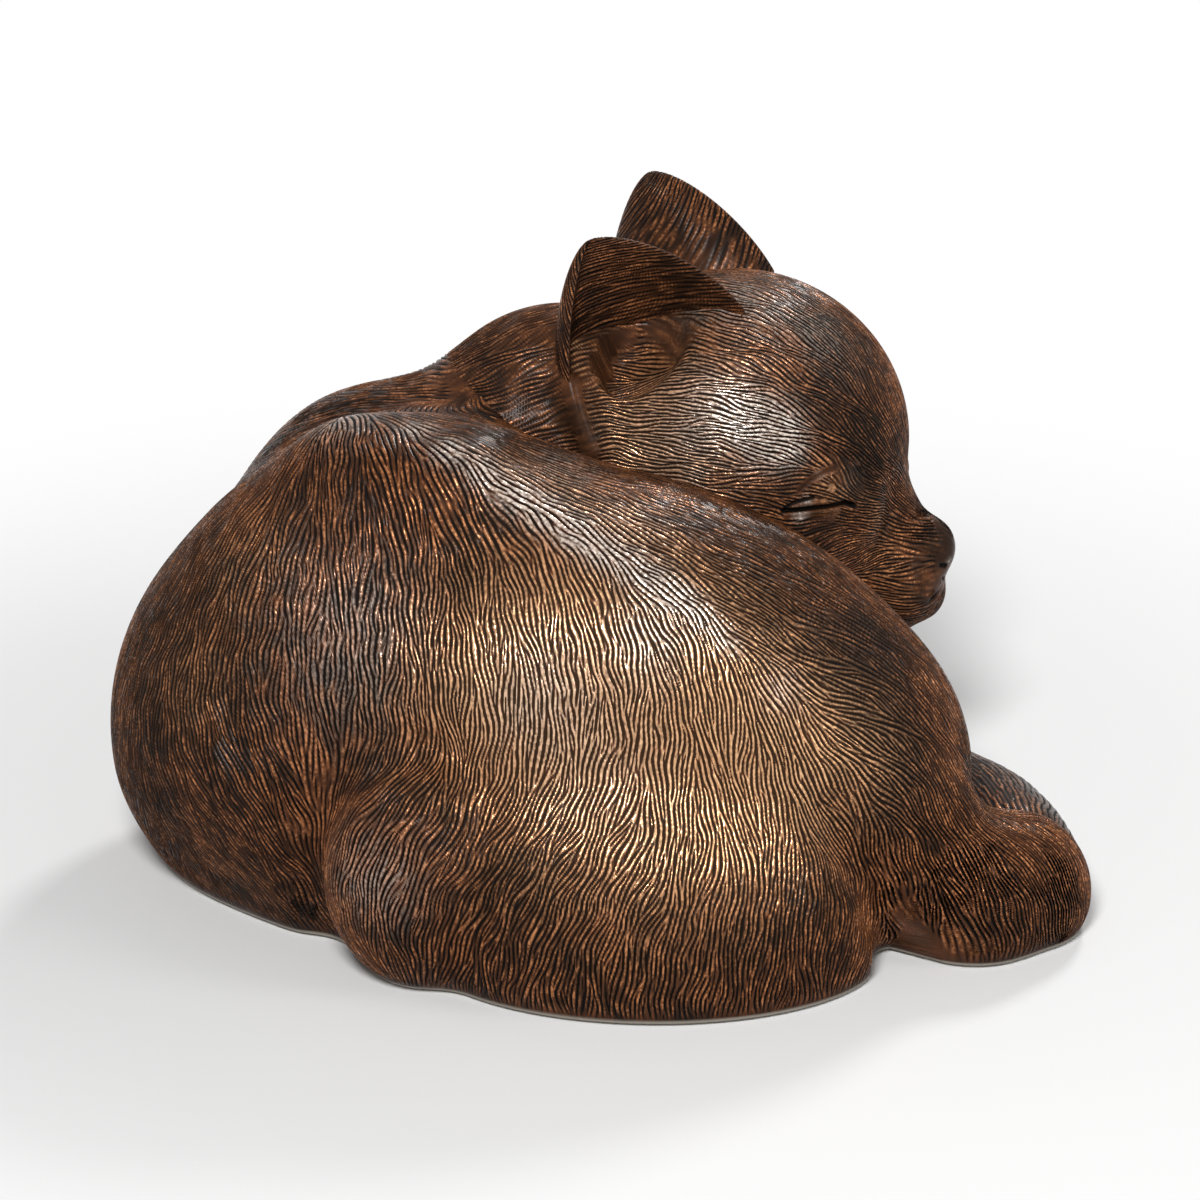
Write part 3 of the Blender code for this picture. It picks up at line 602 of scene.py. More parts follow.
def seamless(points, side):
    # the neck as both castings share it at their seat. Past the seat each one sinks under the other's
    # skin and stops, and what the other one melts into it there draws back with the distance
    beyond = side * seatSide(points)
    recede = body["recede"] * np.maximum(-beyond, 0)
    skull = massesDistance(headFrame(points), head["masses"])
    if side > 0:
        skull = skull + recede
    neck = softMin(skull, neckDistance(points), body["neckMelt"])
    if side < 0:
        # of the trunk, only the skin beside the neck belongs to the head
        trunk = bareTrunk(points) + recede + 3 * np.maximum(neck - 0.010, 0)
        neck = softMin(neck, trunk, body["neckMelt"])
    return np.maximum(neck + 0.2 * np.maximum(beyond, 0), beyond - body["overlap"])


def trunkDistance(points):
    # the trunk with its side of the neck
    return softMin(bareTrunk(points), seamless(points, 1), body["neckMelt"])


def creaseDepth(points):
    # how far each crease sinks the surface: a bell across its path
    sunk = 0 * points[..., 0]
    for path, halfWidth, depth in body["creases"]:
        away = chainDistance(points, path, [0] * len(path))
        sunk = sunk + depth * np.exp(-((away / halfWidth) ** 2))
    return sunk


def bodyDistance(points):
    # the trunk with the tail's root melted onto it, less the creases
    root = chainDistance(points, body["tailRoot"], [body["tailRootRadius"]] * 3)
    return softMin(trunkDistance(points), root, body["tailRootMelt"]) + creaseDepth(points)


def bodyLie(points, normals):
    # hair leaves the spine at an angle that opens with the distance from it, by one table for each side,
    # fans out beyond the spine's start, and stands upright at the lower edge
    share = np.linspace(0, 1, 40)
    middles, tangents = smoothPath(body["spine"], share)
    away = ((points[..., None, :] - middles) ** 2).sum(-1)
    weight = np.exp(-(away - away.min(-1, keepdims=True)) / (2 * 0.010**2))
    weight /= weight.sum(-1, keepdims=True)
    nearest, tangent = weight @ middles, unit(weight @ tangents)
    side = unit(np.stack([tangent[..., 1], -tangent[..., 0], 0 * tangent[..., 0]], -1))
    aside = ((points - nearest) * side).sum(-1)
    drop = np.maximum(nearest[..., 2] - points[..., 2], 0)
    reach = np.hypot(aside, drop) * 1000
    nearAngle = np.interp(reach, *body["nearLie"])
    farAngle = np.interp(reach, *body["farLie"])
    angle = np.radians(np.where(aside > 0, nearAngle, farAngle))[..., None]
    down = inSurface(np.array([0, 0, -1.0]) + side * (0.5 * np.sign(aside))[..., None], normals)
    lie = unit(inSurface(tangent, normals)) * np.cos(angle) + unit(down) * np.sin(angle)
    start = middles[0]
    behind = np.clip(-((points - start) @ tangents[0]) / 0.020 + 0.3, 0, 1)[..., None]
    fan = unit(inSurface(points - start - np.array([0, 0, 0.012]), normals))
    lie = lie * (1 - behind) + fan * behind
    low = np.clip((0.016 - points[..., 2]) / 0.014, 0, 1)[..., None]
    return unit(lie * (1 - low) + unit(inSurface(np.array([0, 0, -1.0]), normals)) * low)


def coarsely(points, normals, work):
    # works something smooth out on every fourth row and column, and stretches it over the whole grid
    rows, columns = points.shape[:2]
    pickRows = np.linspace(0, rows - 1, rows // 4).round().astype(int)
    pickColumns = np.linspace(0, columns - 1, columns // 4).round().astype(int)
    pick = np.ix_(pickRows, pickColumns)
    worked = work(points[pick], normals[pick])
    for axis, wanted in enumerate((rows, columns)):
        worked = betweenPoints(worked, axis, np.linspace(0, worked.shape[axis] - 1, wanted))
    return worked


def plateOutline():
    # the plate's corners in order round it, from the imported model's own plate, without its filling hole's
    plate = frame["nodes"]["base_plate"].data
    corners = np.array([corner.co[:2] for corner in plate.vertices]) - statueShift[:2]
    corners = np.unique(corners.round(5), axis=0)
    middle = (corners.min(0) + corners.max(0)) / 2
    hole, reach = body["fillingHole"]
    rim = corners[np.linalg.norm(corners - np.array(hole), axis=1) > reach]
    return rim[np.argsort(np.arctan2(*(rim - middle).T[::-1]))]


def toOutline(starts, aims, outline):
    # how far each flat ray goes before it crosses the outline, the farthest where it crosses more than once
    ends = np.roll(outline, -1, 0)
    edge = ends - outline
    toStart = outline - starts[:, None]
    cross = aims[:, None, 0] * edge[:, 1] - aims[:, None, 1] * edge[:, 0]
    cross = np.where(np.abs(cross) < 1e-12, 1e-12, cross)
    travel = (toStart[..., 0] * edge[:, 1] - toStart[..., 1] * edge[:, 0]) / cross
    place = (toStart[..., 0] * aims[:, None, 1] - toStart[..., 1] * aims[:, None, 0]) / cross
    hit = (place >= 0) & (place <= 1) & (travel > 0)
    return np.where(hit, travel, 0).max(1)


def recessAround(starts, nearAim, farAim):
    # rows of points across the underside: flat rays meet the plate's outline on the far side and then on
    # the near one, with a gap, at the rim's level and at the recess's
    outline = plateOutline()
    under = []
    farEdge, nearEdge = (toOutline(starts, unit(aim), outline) + body["recessGap"] for aim in (farAim, nearAim))
    for level, edge, aim in ((floorRim, farEdge, farAim), (body["recessTop"], farEdge, farAim),
                             (body["recessTop"], nearEdge, nearAim), (floorRim, nearEdge, nearAim)):
        place = starts + unit(aim) * edge[:, None]
        under.append(np.concatenate([place, np.full((len(place), 1), level)], 1))
    return np.array(under)


def makeBody(material):
    # rays round half a turn, from the near edge over the back to the far one, first roughly and then
    # evenly spaced, with more rows on the near side. Hair is cut in, and a recess is left underneath
    near = (body["axis"][1], -body["axis"][0], 0)
    leans = np.linspace(-quarterTurn, quarterTurn, roughSteps)
    rounds = np.linspace(0, math.pi, roughSteps)
    rays = (body["axisMiddle"], body["axisHalf"], body["axis"], near)
    starts, aims = poleRays(*rays, leans, rounds)
    rough = meetSurface(bodyDistance, starts, aims, body["reach"])
    leans = evened(leans, rough, 1, body["columns"])
    split = math.radians(body["nearTurn"])
    nearRows, farRows = rounds <= split, rounds >= split
    rounds = np.concatenate([evened(rounds[nearRows], rough[nearRows], 0, body["rowsNear"])[:-1],
                             evened(rounds[farRows], rough[farRows], 0, body["rowsFar"] + 1)])
    starts, aims = poleRays(*rays, leans, rounds)
    points = meetSurface(bodyDistance, starts, aims, body["reach"])
    normals = gridNormals(points, False, aims)
    points[0, :, 2] = points[-1, :, 2] = floorRim
    report("body surface")
    way = coarsely(points, normals, lambda place, square: combed(
        place, square, bodyLie(place, square), body, bodyDistance))
    way = unit(inSurface(way, normals))
    report("body combed")
    groove, tone = engraved(points, normals, way, body["pitch"], False, body["seed"])
    report("body engraved")
    height = points[..., 2] - floorRim
    fade = np.clip((height - body["smoothFoot"]) / body["fadeHeight"], 0, 1)
    points = points + normals * (body["depth"] * groove * fade)[..., None]
    points[..., 2] = np.maximum(points[..., 2], floorRim)
    normals = gridNormals(points, False, aims)
    under = recessAround(starts[0, :, :2], aims[0, :, :2], aims[-1, :, :2])
    points = np.concatenate([points, under])
    normals = np.concatenate([normals, np.tile([0, 0, -1.0], (*under.shape[:2], 1))])

    def withUnder(values, plain):
        return np.concatenate([values, np.full(under.shape[:2], plain)])

    values = {"groove": withUnder(groove * fade, -1.0), "tone": withUnder(tone, 0.5),
              **wear(points, body, bodyDistance), "bare": withUnder(rawEdge(height), 1.0)}
    apexes = starts[0] + np.array([0, 0, body["fanHeight"]])
    made = closedBands("body_coat", points, normals, values, bandCuts(body), apexes, (True, True), material,
                       ["body_shell"])
    report(f"body: {len(made)} pieces")


head = {
    "centre": (0.038, 0.045, 0.108),
    "turn": (-4, 16, -14),
    # centre, radii, turn, melting width in the head's own frame: +X out of the muzzle, +Z its crown
    "masses": [
        ((0, 0, 0), (0.046, 0.043, 0.0435), (0, 0, 0), 0.001),
        ((0.016, -0.019, -0.017), (0.027, 0.022, 0.023), (0, 0, 0), 0.012),
        ((0.016, 0.019, -0.017), (0.027, 0.022, 0.023), (0, 0, 0), 0.012),
        ((0.0433, 0, -0.0205), (0.025, 0.017, 0.0139), (0, 20, 0), 0.012),
        ((0.0405, 0, -0.0075), (0.0201, 0.009, 0.0084), (0, 24, 0), 0.010),
        ((0.0585, 0, -0.0129), (0.0074, 0.0065, 0.0077), (0, 0, 0), 0.005),
        ((0.0532, -0.007, -0.0244), (0.0099, 0.009, 0.0086), (0, 0, 0), 0.005),
        ((0.0532, 0.007, -0.0244), (0.0099, 0.009, 0.0086), (0, 0, 0), 0.005),
        ((0.049, 0, -0.0354), (0.0109, 0.010, 0.0074), (0, 0, 0), 0.006),
        ((0.033, -0.020, -0.003), (0.012, 0.010, 0.009), (0, 0, 0), 0.006),
        ((0.033, 0.020, -0.003), (0.012, 0.010, 0.009), (0, 0, 0), 0.006),
    ],
    # the hollow in the skull in front of each ear: centre, radii, turn, melting width
    "hollow": ((-0.0286, -0.0280, 0.0210), (0.016, 0.010, 0.007), (-33, 65, -154), 0.003),
    # folds drawn on the right side where the photograph shows them, and mirrored: path, width, depth
    "folds": [
        ([(783, 511), (797, 510), (812, 508), (830, 505), (845, 502), (855, 505)], 0.00042, 0.00140),
        ([(785, 508), (796, 502), (812, 497)], 0.00040, 0.00060),
        ([(787, 515), (801, 514), (818, 512), (836, 509)], 0.00070, -0.00050),
        ([(792, 506), (806, 503), (822, 501)], 0.00050, -0.00035),
        ([(799, 490), (810, 479), (822, 471), (834, 467)], 0.00070, 0.00022),
        ([(943, 578), (946, 590), (943, 604), (936, 618)], 0.00050, 0.00050),
        ([(941, 565), (946, 566)], 0.00050, 0.00080),
        # the root of the ear's rear rim stands out
        ([(570, 385), (575, 405), (582, 428), (591, 450)], 0.00360, -0.00330),
    ],
    # soft swellings and hollows about the eye: place, radius, height
    "swells": [
        ((828, 487), 0.0042, 0.0021), ((866, 487), 0.0034, -0.0016), ((830, 520), 0.0030, 0.0006),
    ],
    # gold wear on the lids and the muzzle, and painted highlights on the cheek and along the ear's rear rim
    "rubbedAndLit": [
        ((700, 415), 0.014, 0.35), ((828, 486), 0.0034, 0.40), ((650, 470), 0.010, 0.30),
        ((573, 345), 0.0016, 0.9), ((577, 372), 0.0013, 0.9), ((581, 395), 0.0013, 0.9),
        ((586, 418), 0.0013, 0.8), ((640, 425), 0.008, 0.25), ((890, 560), 0.006, 0.08),
        ((900, 600), 0.006, 0.06), ((620, 370), 0.004, 0.60), ((635, 362), 0.004, 0.50),
        ((880, 520), 0.004, 0.20),
    ],
    # painted highlights in silver on the cheek, the crown, the lids and the nose
    "paintedHighlights": [
        ((773, 434), 0.0048, 1.40), ((750, 422), 0.0056, 0.80), ((720, 405), 0.0065, 0.55),
        ((784, 447), 0.0034, 0.60), ((680, 440), 0.0090, 0.30), ((810, 330), 0.0080, 0.25),
        ((740, 300), 0.0080, 0.35), ((800, 514), 0.0012, 1.20), ((806, 500), 0.0010, 0.80),
        ((819, 475), 0.0009, 0.80), ((949, 562), 0.0008, 0.9),
    ],
    # painted shade beside the nose bridge, about the eye, in the ear's hollow and behind the ear, and a dark nose
    "darkAndShadedSpots": [
        ((858, 440), 0.009, 0.80), ((860, 370), 0.012, 0.55), ((866, 490), 0.0045, 1.00),
        ((790, 485), 0.004, 0.50), ((947, 543), 0.0046, 2.20), ((945, 605), 0.004, 0.60),
        ((800, 560), 0.008, 0.60), ((500, 360), 0.012, 0.60), ((618, 345), 0.005, 0.90),
        ((655, 340), 0.006, 0.60), ((580, 425), 0.008, 0.70), ((830, 520), 0.0035, 0.60),
    ],
    "noseTip": (0.067, 0, -0.017),
    "smoothNose": ((0.0665, 0, -0.014), 0.0043, 2.8),
    "finerFace": (0.018, 0.022, 0.12),          # from here, over this much, the strokes get this much finer
    "lidGroove": (0.30, 180),                   # how a smooth lid is coloured, flat and for each metre of swell
    "lidTone": 350,
    "mostSwell": 0.002,
    "darkFold": 0.0006,                         # a fold this deep is dark
    "axisMiddle": (0.020, 0.0395, 0.100),
    "axisHalf": 0.034,
    "axis": (0.987, -0.055, -0.150),
    "rows": 950,
    "columns": 290,
    "bands": 3,
    "reach": 0.13,
    "combReach": 0.007,
    "combStrength": 3.0,
    "seed": 5,
    "pitch": 0.00074,
    "smear": 0.0010,
    "depth": 0.00018,
    "comb": [
        (931, 540, 898, 536), (931, 559, 898, 559), (931, 581, 906, 584), (922, 606, 898, 599),
        (889, 548, 859, 556), (859, 556, 840, 566), (927, 520, 898, 495), (889, 506, 866, 500),
        (906, 490, 881, 465), (881, 457, 869, 440), (856, 473, 846, 445), (905, 440, 885, 380),
        (880, 400, 850, 340), (850, 350, 810, 310), (830, 320, 780, 288), (780, 300, 735, 285),
        (830, 470, 780, 455), (780, 450, 720, 440), (720, 440, 650, 440), (800, 430, 740, 410),
        (760, 390, 700, 385), (740, 480, 680, 470), (700, 420, 640, 430), (775, 432, 683, 405),
        (714, 452, 632, 456), (775, 375, 714, 344), (800, 330, 745, 300), (840, 533, 820, 546),
        (773, 490, 740, 495), (790, 465, 750, 473), (840, 400, 800, 360), (860, 440, 820, 410),
        (680, 380, 640, 395), (560, 310, 524, 338), (570, 360, 534, 388), (520, 335, 478, 362),
        (470, 350, 428, 374), (580, 425, 548, 444), (545, 405, 505, 427), (660, 455, 625, 440),
    ],
}


def headFrame(points):
    # from sculpting coordinates to the head's own
    return (points - np.array(head["centre"])) @ turned(head["turn"])


def fromHead(points):
    # from the head's own coordinates to sculpting ones
    return np.asarray(points, float) @ turned(head["turn"]).T + np.array(head["centre"])


def hollowed(points, distance):
    # what is left of a surface outside the hollow before each ear
    centre, radii, degrees, melt = head["hollow"]
    local = headFrame(points)
    for side in (1, -1):
        distance = softMax(distance, -massDistance(local * [1, side, 1], centre, radii, degrees), melt)
    return distance


def plainHeadDistance(points):
    # the skull melted into the neck, with no seat and no hollows
    return softMin(massesDistance(headFrame(points), head["masses"]), neckDistance(points), body["neckMelt"])


def foldLines():
    # each fold's points on the right side of the face, and the same on the left
    lines = []
    for pixels, width, depth in head["folds"]:
        path = headFrame(seenAt(plainHeadDistance, *np.array(pixels, float).T))
        lines += [(path, width, depth), (path * [1, -1, 1], width, depth)]
    return lines


def headDistance(points):
    # the head with its side of the neck, less the hollows
    return hollowed(points, seamless(points, -1))


def headLie(points, normals):
    # hair runs back from the nose, and a little down the neck behind the head
    tip = fromHead(head["noseTip"])
    lie = unit(inSurface(points - tip, normals))
    behind = np.clip(-(headFrame(points)[..., 0] + 0.020) / 0.020, 0, 1)[..., None]
    down = unit(inSurface(np.array([-0.95, 0, -0.25]), normals))
    return unit(lie * (1 - behind) + down * behind)


def sculptFace(local):
    # how far the face swells and is cut at each point, both sides alike, and how smooth it is there:
    # at the nose, over the swells and, half as wide again as they are, along the folds
    smooth = patches(local, [head["smoothNose"]])
    swell, cut = np.zeros(local.shape[:2]), np.zeros(local.shape[:2])
    for place, radius, height in head["swells"]:
        middle = headFrame(seenAt(plainHeadDistance, *np.array([place], float).T))[0]
        for one in (local, local * [1, -1, 1]):
            swell += patches(one, [(tuple(middle), radius, height)])
            smooth += patches(one, [(tuple(middle), 0.7 * radius, 0.55)])
    for path, width, depth in foldLines():
        near = chainDistance(local, list(path), [0.0] * len(path), 0.0001)
        cut += depth * np.exp(-(near / width) ** 2)
        smooth += np.exp(-(near / (1.6 * min(width, 0.0019))) ** 2)
    return swell, cut, np.clip(smooth, 0, 1)


def makeHead(material):
    # rays all round, first roughly and then evenly spaced along the axis. Hair, lids and folds are cut in
    rays = (head["axisMiddle"], head["axisHalf"], head["axis"], (0, -1, 0))
    leans = np.linspace(-quarterTurn, quarterTurn, roughSteps)
    rounds = np.linspace(0, 2 * math.pi, 2 * roughSteps, endpoint=False)
    starts, aims = poleRays(*rays, leans, rounds)
    rough = meetSurface(headDistance, starts, aims, head["reach"])
    leans = evened(leans, rough, 1, head["columns"])
    rounds = np.linspace(0, 2 * math.pi, head["rows"], endpoint=False)
    starts, aims = poleRays(*rays, leans, rounds)
    points = meetSurface(headDistance, starts, aims, head["reach"])
    normals = gridNormals(points, True, aims)
    report("head surface")
    way = coarsely(points, normals, lambda place, square: combed(
        place, square, headLie(place, square), head, plainHeadDistance))
    way = unit(inSurface(way, normals))
    local = headFrame(points)
    start, over, finer = head["finerFace"]
    fine = 1 - finer * np.clip((local[..., 0] - start) / over, 0, 1)
    groove, tone = engraved(points, normals, way, head["pitch"] * fine, True, head["seed"],
                            head["smear"] * fine)
    report("head engraved")
    swell, cut, smooth = sculptFace(local)
    groove = groove * (1 - smooth)
    points = points + normals * (head["depth"] * groove + swell - cut)[..., None]
    normals = gridNormals(points, True, aims)
    # where the grid is stretched, beside the seat, it lies in shadow
    rowLength = np.linalg.norm(gridSlopes(points, True)[0], axis=-1)
    stretched = np.clip((rowLength - 0.0008) / 0.0010, 0, 1)
    raised = np.clip(swell, 0, head["mostSwell"])
    flat, rising = head["lidGroove"]
    groove = np.where(smooth > 0.5, flat + rising * raised, groove)
    groove = groove - 1.5 * np.clip(cut / head["darkFold"], 0, 1) - 0.4 * stretched
    # the lids are a warm red
    values = {"groove": groove, "tone": np.clip(tone + head["lidTone"] * raised, 0, 1),
              **wear(points, head, plainHeadDistance), "bare": np.zeros(points.shape[:2])}
    made = closedBands("head_coat", points, normals, values, bandCuts(head), starts[0], (True, True), material,
                       ["head_casting"])
    report(f"head: {len(made)} pieces")


ear = {
    # the right ear in the head's own frame. The left one is its mirror image
    "front": (-0.0045, -0.0195, 0.0375),
    "back": (-0.0320, -0.0400, -0.0110),
    "tip": (-0.0495, -0.0371, 0.0486),
    "thickness": 0.0048,
    "cup": 0.019,
    "fold": 0.0095,
    "foldWay": (-1.0, 0.0, 0.0),
    "rows": 160,
    "columns": 170,
    "pitch": 0.00080,
    "depth": 0.00013,
    "seed": 11,                                 # and one more or less on either side
    "bareStrip": (0.42, 0.25),                  # a smooth strip inside, from this share across, over this much
    "edge": 0.18,                               # the rim's smooth edge
}


def earSheet(across, height):
    # the middle of the shell: a parabola for a cup between its two edges, folded back near the rear one
    front, back, tip = np.array(ear["front"]), np.array(ear["back"]), np.array(ear["tip"])
    chord = back - front
    out = unit(np.cross(chord, tip - (front + back) / 2))
    width = (1 - height**1.5) ** 0.75 * np.clip(height / 0.06, 0, 1) ** 0.5
    cup = ear["cup"] * (1 - across**2) * width * (1 - 0.35 * height)
    fold = ear["fold"] * 0.59 * (1 - across) * (1 + across) ** 3 * width
    middle = (front + back) / 2 * (1 - height) + tip * height
    return middle + chord / 2 * across * width + out * cup + np.array(ear["foldWay"]) * fold


def makeEar(name, side, material):
    # both faces stand off the shell's middle by half its thickness, less towards the edges and the tip
    around = np.linspace(0, 2 * math.pi, ear["rows"], endpoint=False)[:, None, None]
    height = 1 - (1 - np.linspace(0, 1, ear["columns"])[None, :, None]) ** 1.25
    across, height = np.cos(around) + 0 * height, height + 0 * around
    thick = ear["thickness"] / 2 * np.sin(around) * np.sqrt(1 - height**4) * np.clip(height / 0.06, 0, 1)
    innerAcross, innerHeight, step = np.clip(across, -0.95, 0.95), np.clip(height, 0.08, 0.92), 0.01
    over = earSheet(innerAcross + step, innerHeight) - earSheet(innerAcross - step, innerHeight)
    up = earSheet(innerAcross, innerHeight + step) - earSheet(innerAcross, innerHeight - step)
    chord = np.array(ear["back"]) - np.array(ear["front"])
    plain = unit(np.cross(chord, np.array(ear["tip"]) - (np.array(ear["front"]) + np.array(ear["back"])) / 2))
    square = plain + (unit(np.cross(over, up)) - plain) * np.clip((height - 0.05) / 0.15, 0, 1)
    points = earSheet(across, height) + square * thick
    outwards = square * np.sin(around) + unit(over) * across
    if side > 0:
        points, outwards = points * [1, -1, 1], outwards * [1, -1, 1]
    points, outwards = fromHead(points), outwards @ turned(head["turn"]).T
    normals = gridNormals(points, True, outwards)
    downRows, downColumns = gridSlopes(points, True)
    inside = (np.sin(around) < 0) * np.ones_like(height)
    rise = unit(inSurface(unit(downColumns), normals))
    over = unit(inSurface(unit(downRows), normals)) * np.where(inside > 0, -1, 1)
    lean = np.where(inside > 0, 0.97, 0.5)
    level = inSurface(np.array([1.0, 0, 0.12]) + 0 * normals, normals)
    way = unit(np.where(inside > 0, level, over * lean + rise * (1 - lean)))
    strip = inside * np.clip((across - ear["bareStrip"][0]) / ear["bareStrip"][1], 0, 1)
    groove, tone = engraved(points, normals, way, ear["pitch"], True, ear["seed"] + side)
    inside, strip = inside[..., 0], strip[..., 0]
    edge = np.clip(1 - np.abs(np.sin(around[..., 0])) / ear["edge"], 0, 1) * np.ones(points.shape[:2])
    smooth = np.clip(edge + 0.9 * strip, 0, 1)
    groove = groove * (1 - smooth)
    points = points + normals * (ear["depth"] * groove)[..., None]
    normals = gridNormals(points, True, outwards)
    zero = np.zeros(points.shape[:2])
    # the ear is a little darker all over, with painted shade inside that is strongest on the smooth strip, and a
    # little painted highlight on the rim's edge
    values = {"groove": groove, "tone": tone, "rubAndLight": 0.15 * edge, "highlightAmount": 0.10 * edge,
              "darkAndShaded": np.clip(0.25 + 0.15 * inside + 0.6 * strip - 0.5 * edge, 0, 1), "bare": zero}
    closedBands(name, points, normals, values, [0, ear["columns"] - 1], points.mean(0), (False, True), material,
                ["head_casting"])


limbs = {
    "tail_coat": {
        "path": [
            (0.107, -0.031, 0.010), (0.101, -0.008, 0.010), (0.086, 0.016, 0.010), (0.073, 0.042, 0.010),
            (0.055, 0.066, 0.010), (0.026, 0.084, 0.010), (-0.006, 0.092, 0.010), (-0.036, 0.089, 0.009),
            (-0.058, 0.079, 0.008),
        ],
        "radii": [0.0210, 0.0200] + [0.018 + (0.007 - 0.018) * (step / 7) ** 2.2 for step in range(1, 7)] + [0.007],
        "rows": 220, "columns": 320, "bands": 2, "node": "tail_casting", "slot": "bronze_tail", "slant": 0.6,
        "pitch": 0.00100, "depth": 0.00017, "seed": 17,
    },
    "right_foreleg_coat": {
        "path": [(-0.056, 0.040, 0.044), (-0.024, 0.043, 0.044), (0.010, 0.045, 0.044), (0.042, 0.045, 0.043),
                 (0.060, 0.042, 0.041)],
        "radii": [0.018, 0.017, 0.016, 0.015, 0.0135],
        "rows": 100, "columns": 110, "bands": 1, "node": "right_foreleg", "slot": "bronze_legs", "slant": 0.15,
        "pitch": 0.00135, "depth": 0.00017, "seed": 19,
    },
    "left_foreleg_coat": {
        "path": [(-0.062, 0.056, 0.022), (-0.030, 0.065, 0.017), (0.002, 0.066, 0.016), (0.030, 0.060, 0.015)],
        "radii": [0.018, 0.018 - 0.004 / 3, 0.018 - 0.008 / 3, 0.0135],
        "rows": 100, "columns": 110, "bands": 1, "node": "left_foreleg", "slot": "bronze_legs", "slant": 0.15,
        "pitch": 0.00135, "depth": 0.00017, "seed": 23,
    },
}


limbShape = {
    "cap": 0.10,                                # the share of a limb's columns that rounds off each end
    "reach": 0.034,
    "band": (0.006, 0.003),                     # smooth up to this height, and hairy this much above it
    "bandBare": 0.42,
    "darkAndShaded": 0.45,
}


def makeLimb(name, limb, material):
    # rays leave the centreline square to it, and fan out over each end
    share = np.linspace(0, 1, 3 * len(limb["path"]) - 2)
    middles, _ = smoothPath(limb["path"], share)
    spread = np.interp(share, np.linspace(0, 1, len(limb["radii"])), limb["radii"])

    def distance(points):
        return chainDistance(points, list(middles), list(spread))

    lengthwise = np.linspace(0, 1, limb["columns"])
    around = np.linspace(0, 2 * math.pi, limb["rows"], endpoint=False)
    cap = limbShape["cap"]
    point, forward = smoothPath(limb["path"], (lengthwise - cap) / (1 - 2 * cap))
    lean = np.clip((lengthwise - (1 - cap)) / cap, 0, 1) - np.clip((cap - lengthwise) / cap, 0, 1)
    lean = (lean * math.pi / 2)[None, :, None]
    side = unit(np.cross([0, 0, 1], forward))
    top = np.cross(forward, side)
    spoke = side * np.cos(around)[:, None, None] + top * np.sin(around)[:, None, None]
    aims = spoke * np.cos(lean) + forward * np.sin(lean)
    starts = point + 0 * aims
    points = meetSurface(distance, starts, aims, limbShape["reach"])
    normals = gridNormals(points, True, aims)
    lie = inSurface(forward + 0 * aims, normals)
    down = inSurface(np.array([0, 0, -1.0]) + 0 * aims, normals)
    way = unit(unit(lie) + limb["slant"] * down)
    groove, tone = engraved(points, normals, way, limb["pitch"], True, limb["seed"])
    height = points[..., 2] - floorRim
    fade = np.clip((height - limbShape["band"][0]) / limbShape["band"][1], 0, 1)
    points = points + normals * (limb["depth"] * groove * fade)[..., None]
    under = points[..., 2] < floorRim
    points[..., 2] = np.maximum(points[..., 2], floorRim)
    normals = gridNormals(points, True, aims)
    normals[under] = [0, 0, -1]
    zero = np.zeros(points.shape[:2])
    # the limbs are given a darker, duller finish all over, with no rubbing and no painted highlight
    values = {"groove": groove * fade, "tone": tone, "rubAndLight": zero, "highlightAmount": zero,
              "darkAndShaded": zero + limbShape["darkAndShaded"],
              "bare": np.maximum(rawEdge(height), limbShape["bandBare"] * (1 - fade))}
    closedBands(name, points, normals, values, bandCuts(limb), point, (True, True), material,
                [limb["node"]])
    report(name)


def newMaterial(name):
    # a node material, with its nodes, its links and its shader
    material = bpy.data.materials.new(name)
    material.use_nodes = True
    nodes = material.node_tree.nodes
    return material, nodes, material.node_tree.links, nodes["Principled BSDF"]


def addNode(nodes, kind, **settings):
    # a node with its settings, and its inputs' values, which are named in_ and the input
    node = nodes.new(kind)
    for key, value in settings.items():
        if key.startswith("in_"):
            node.inputs[key[3:].replace("_", " ")].default_value = value
        else:
            setattr(node, key, value)
    return node


def ranged(nodes, links, source, low, high, toLow=0.0, toHigh=1.0):
    # stretches a value from one range to another, and holds it there
    node = addNode(nodes, "ShaderNodeMapRange", interpolation_type="SMOOTHSTEP")
    for socket, value in zip(("From Min", "From Max", "To Min", "To Max"), (low, high, toLow, toHigh)):
        node.inputs[socket].default_value = value
    links.new(source, node.inputs["Value"])
    return node.outputs["Result"]


def blended(nodes, links, amount, first, second):
    # a colour between two, by an amount
    node = addNode(nodes, "ShaderNodeMix", data_type="RGBA")
    links.new(amount, node.inputs["Factor"])
    for socket, value in (("A", first), ("B", second)):
        place = [one for one in node.inputs if one.name == socket and one.type == "RGBA"][0]
        if isinstance(value, tuple):
            place.default_value = (*value, 1)
        else:
            links.new(value, place)
    return [one for one in node.outputs if one.type == "RGBA"][0]


def calculated(nodes, links, operation, first, second):
    # one sum of two values, held between 0 and 1
    node = addNode(nodes, "ShaderNodeMath", operation=operation, use_clamp=True)
    for place, value in enumerate((first, second)):
        if isinstance(value, (int, float)):
            node.inputs[place].default_value = value
        else:
            links.new(value, node.inputs[place])
    return node.outputs[0]


def noiseOf(nodes, links, scale, detail=2.0, rough=0.5):
    # noise in the object's own coordinates
    place = addNode(nodes, "ShaderNodeTexCoord").outputs["Object"]
    node = addNode(nodes, "ShaderNodeTexNoise", in_Scale=scale, in_Detail=detail, in_Roughness=rough)
    links.new(place, node.inputs["Vector"])
    return node.outputs["Fac"]


def bumped(nodes, links, shader, height, strength, distance):
    # tilts the shading as if the surface rose with a value
    bump = addNode(nodes, "ShaderNodeBump", in_Strength=strength, in_Distance=distance)
    links.new(height, bump.inputs["Height"])
    links.new(bump.outputs["Normal"], shader.inputs["Normal"])


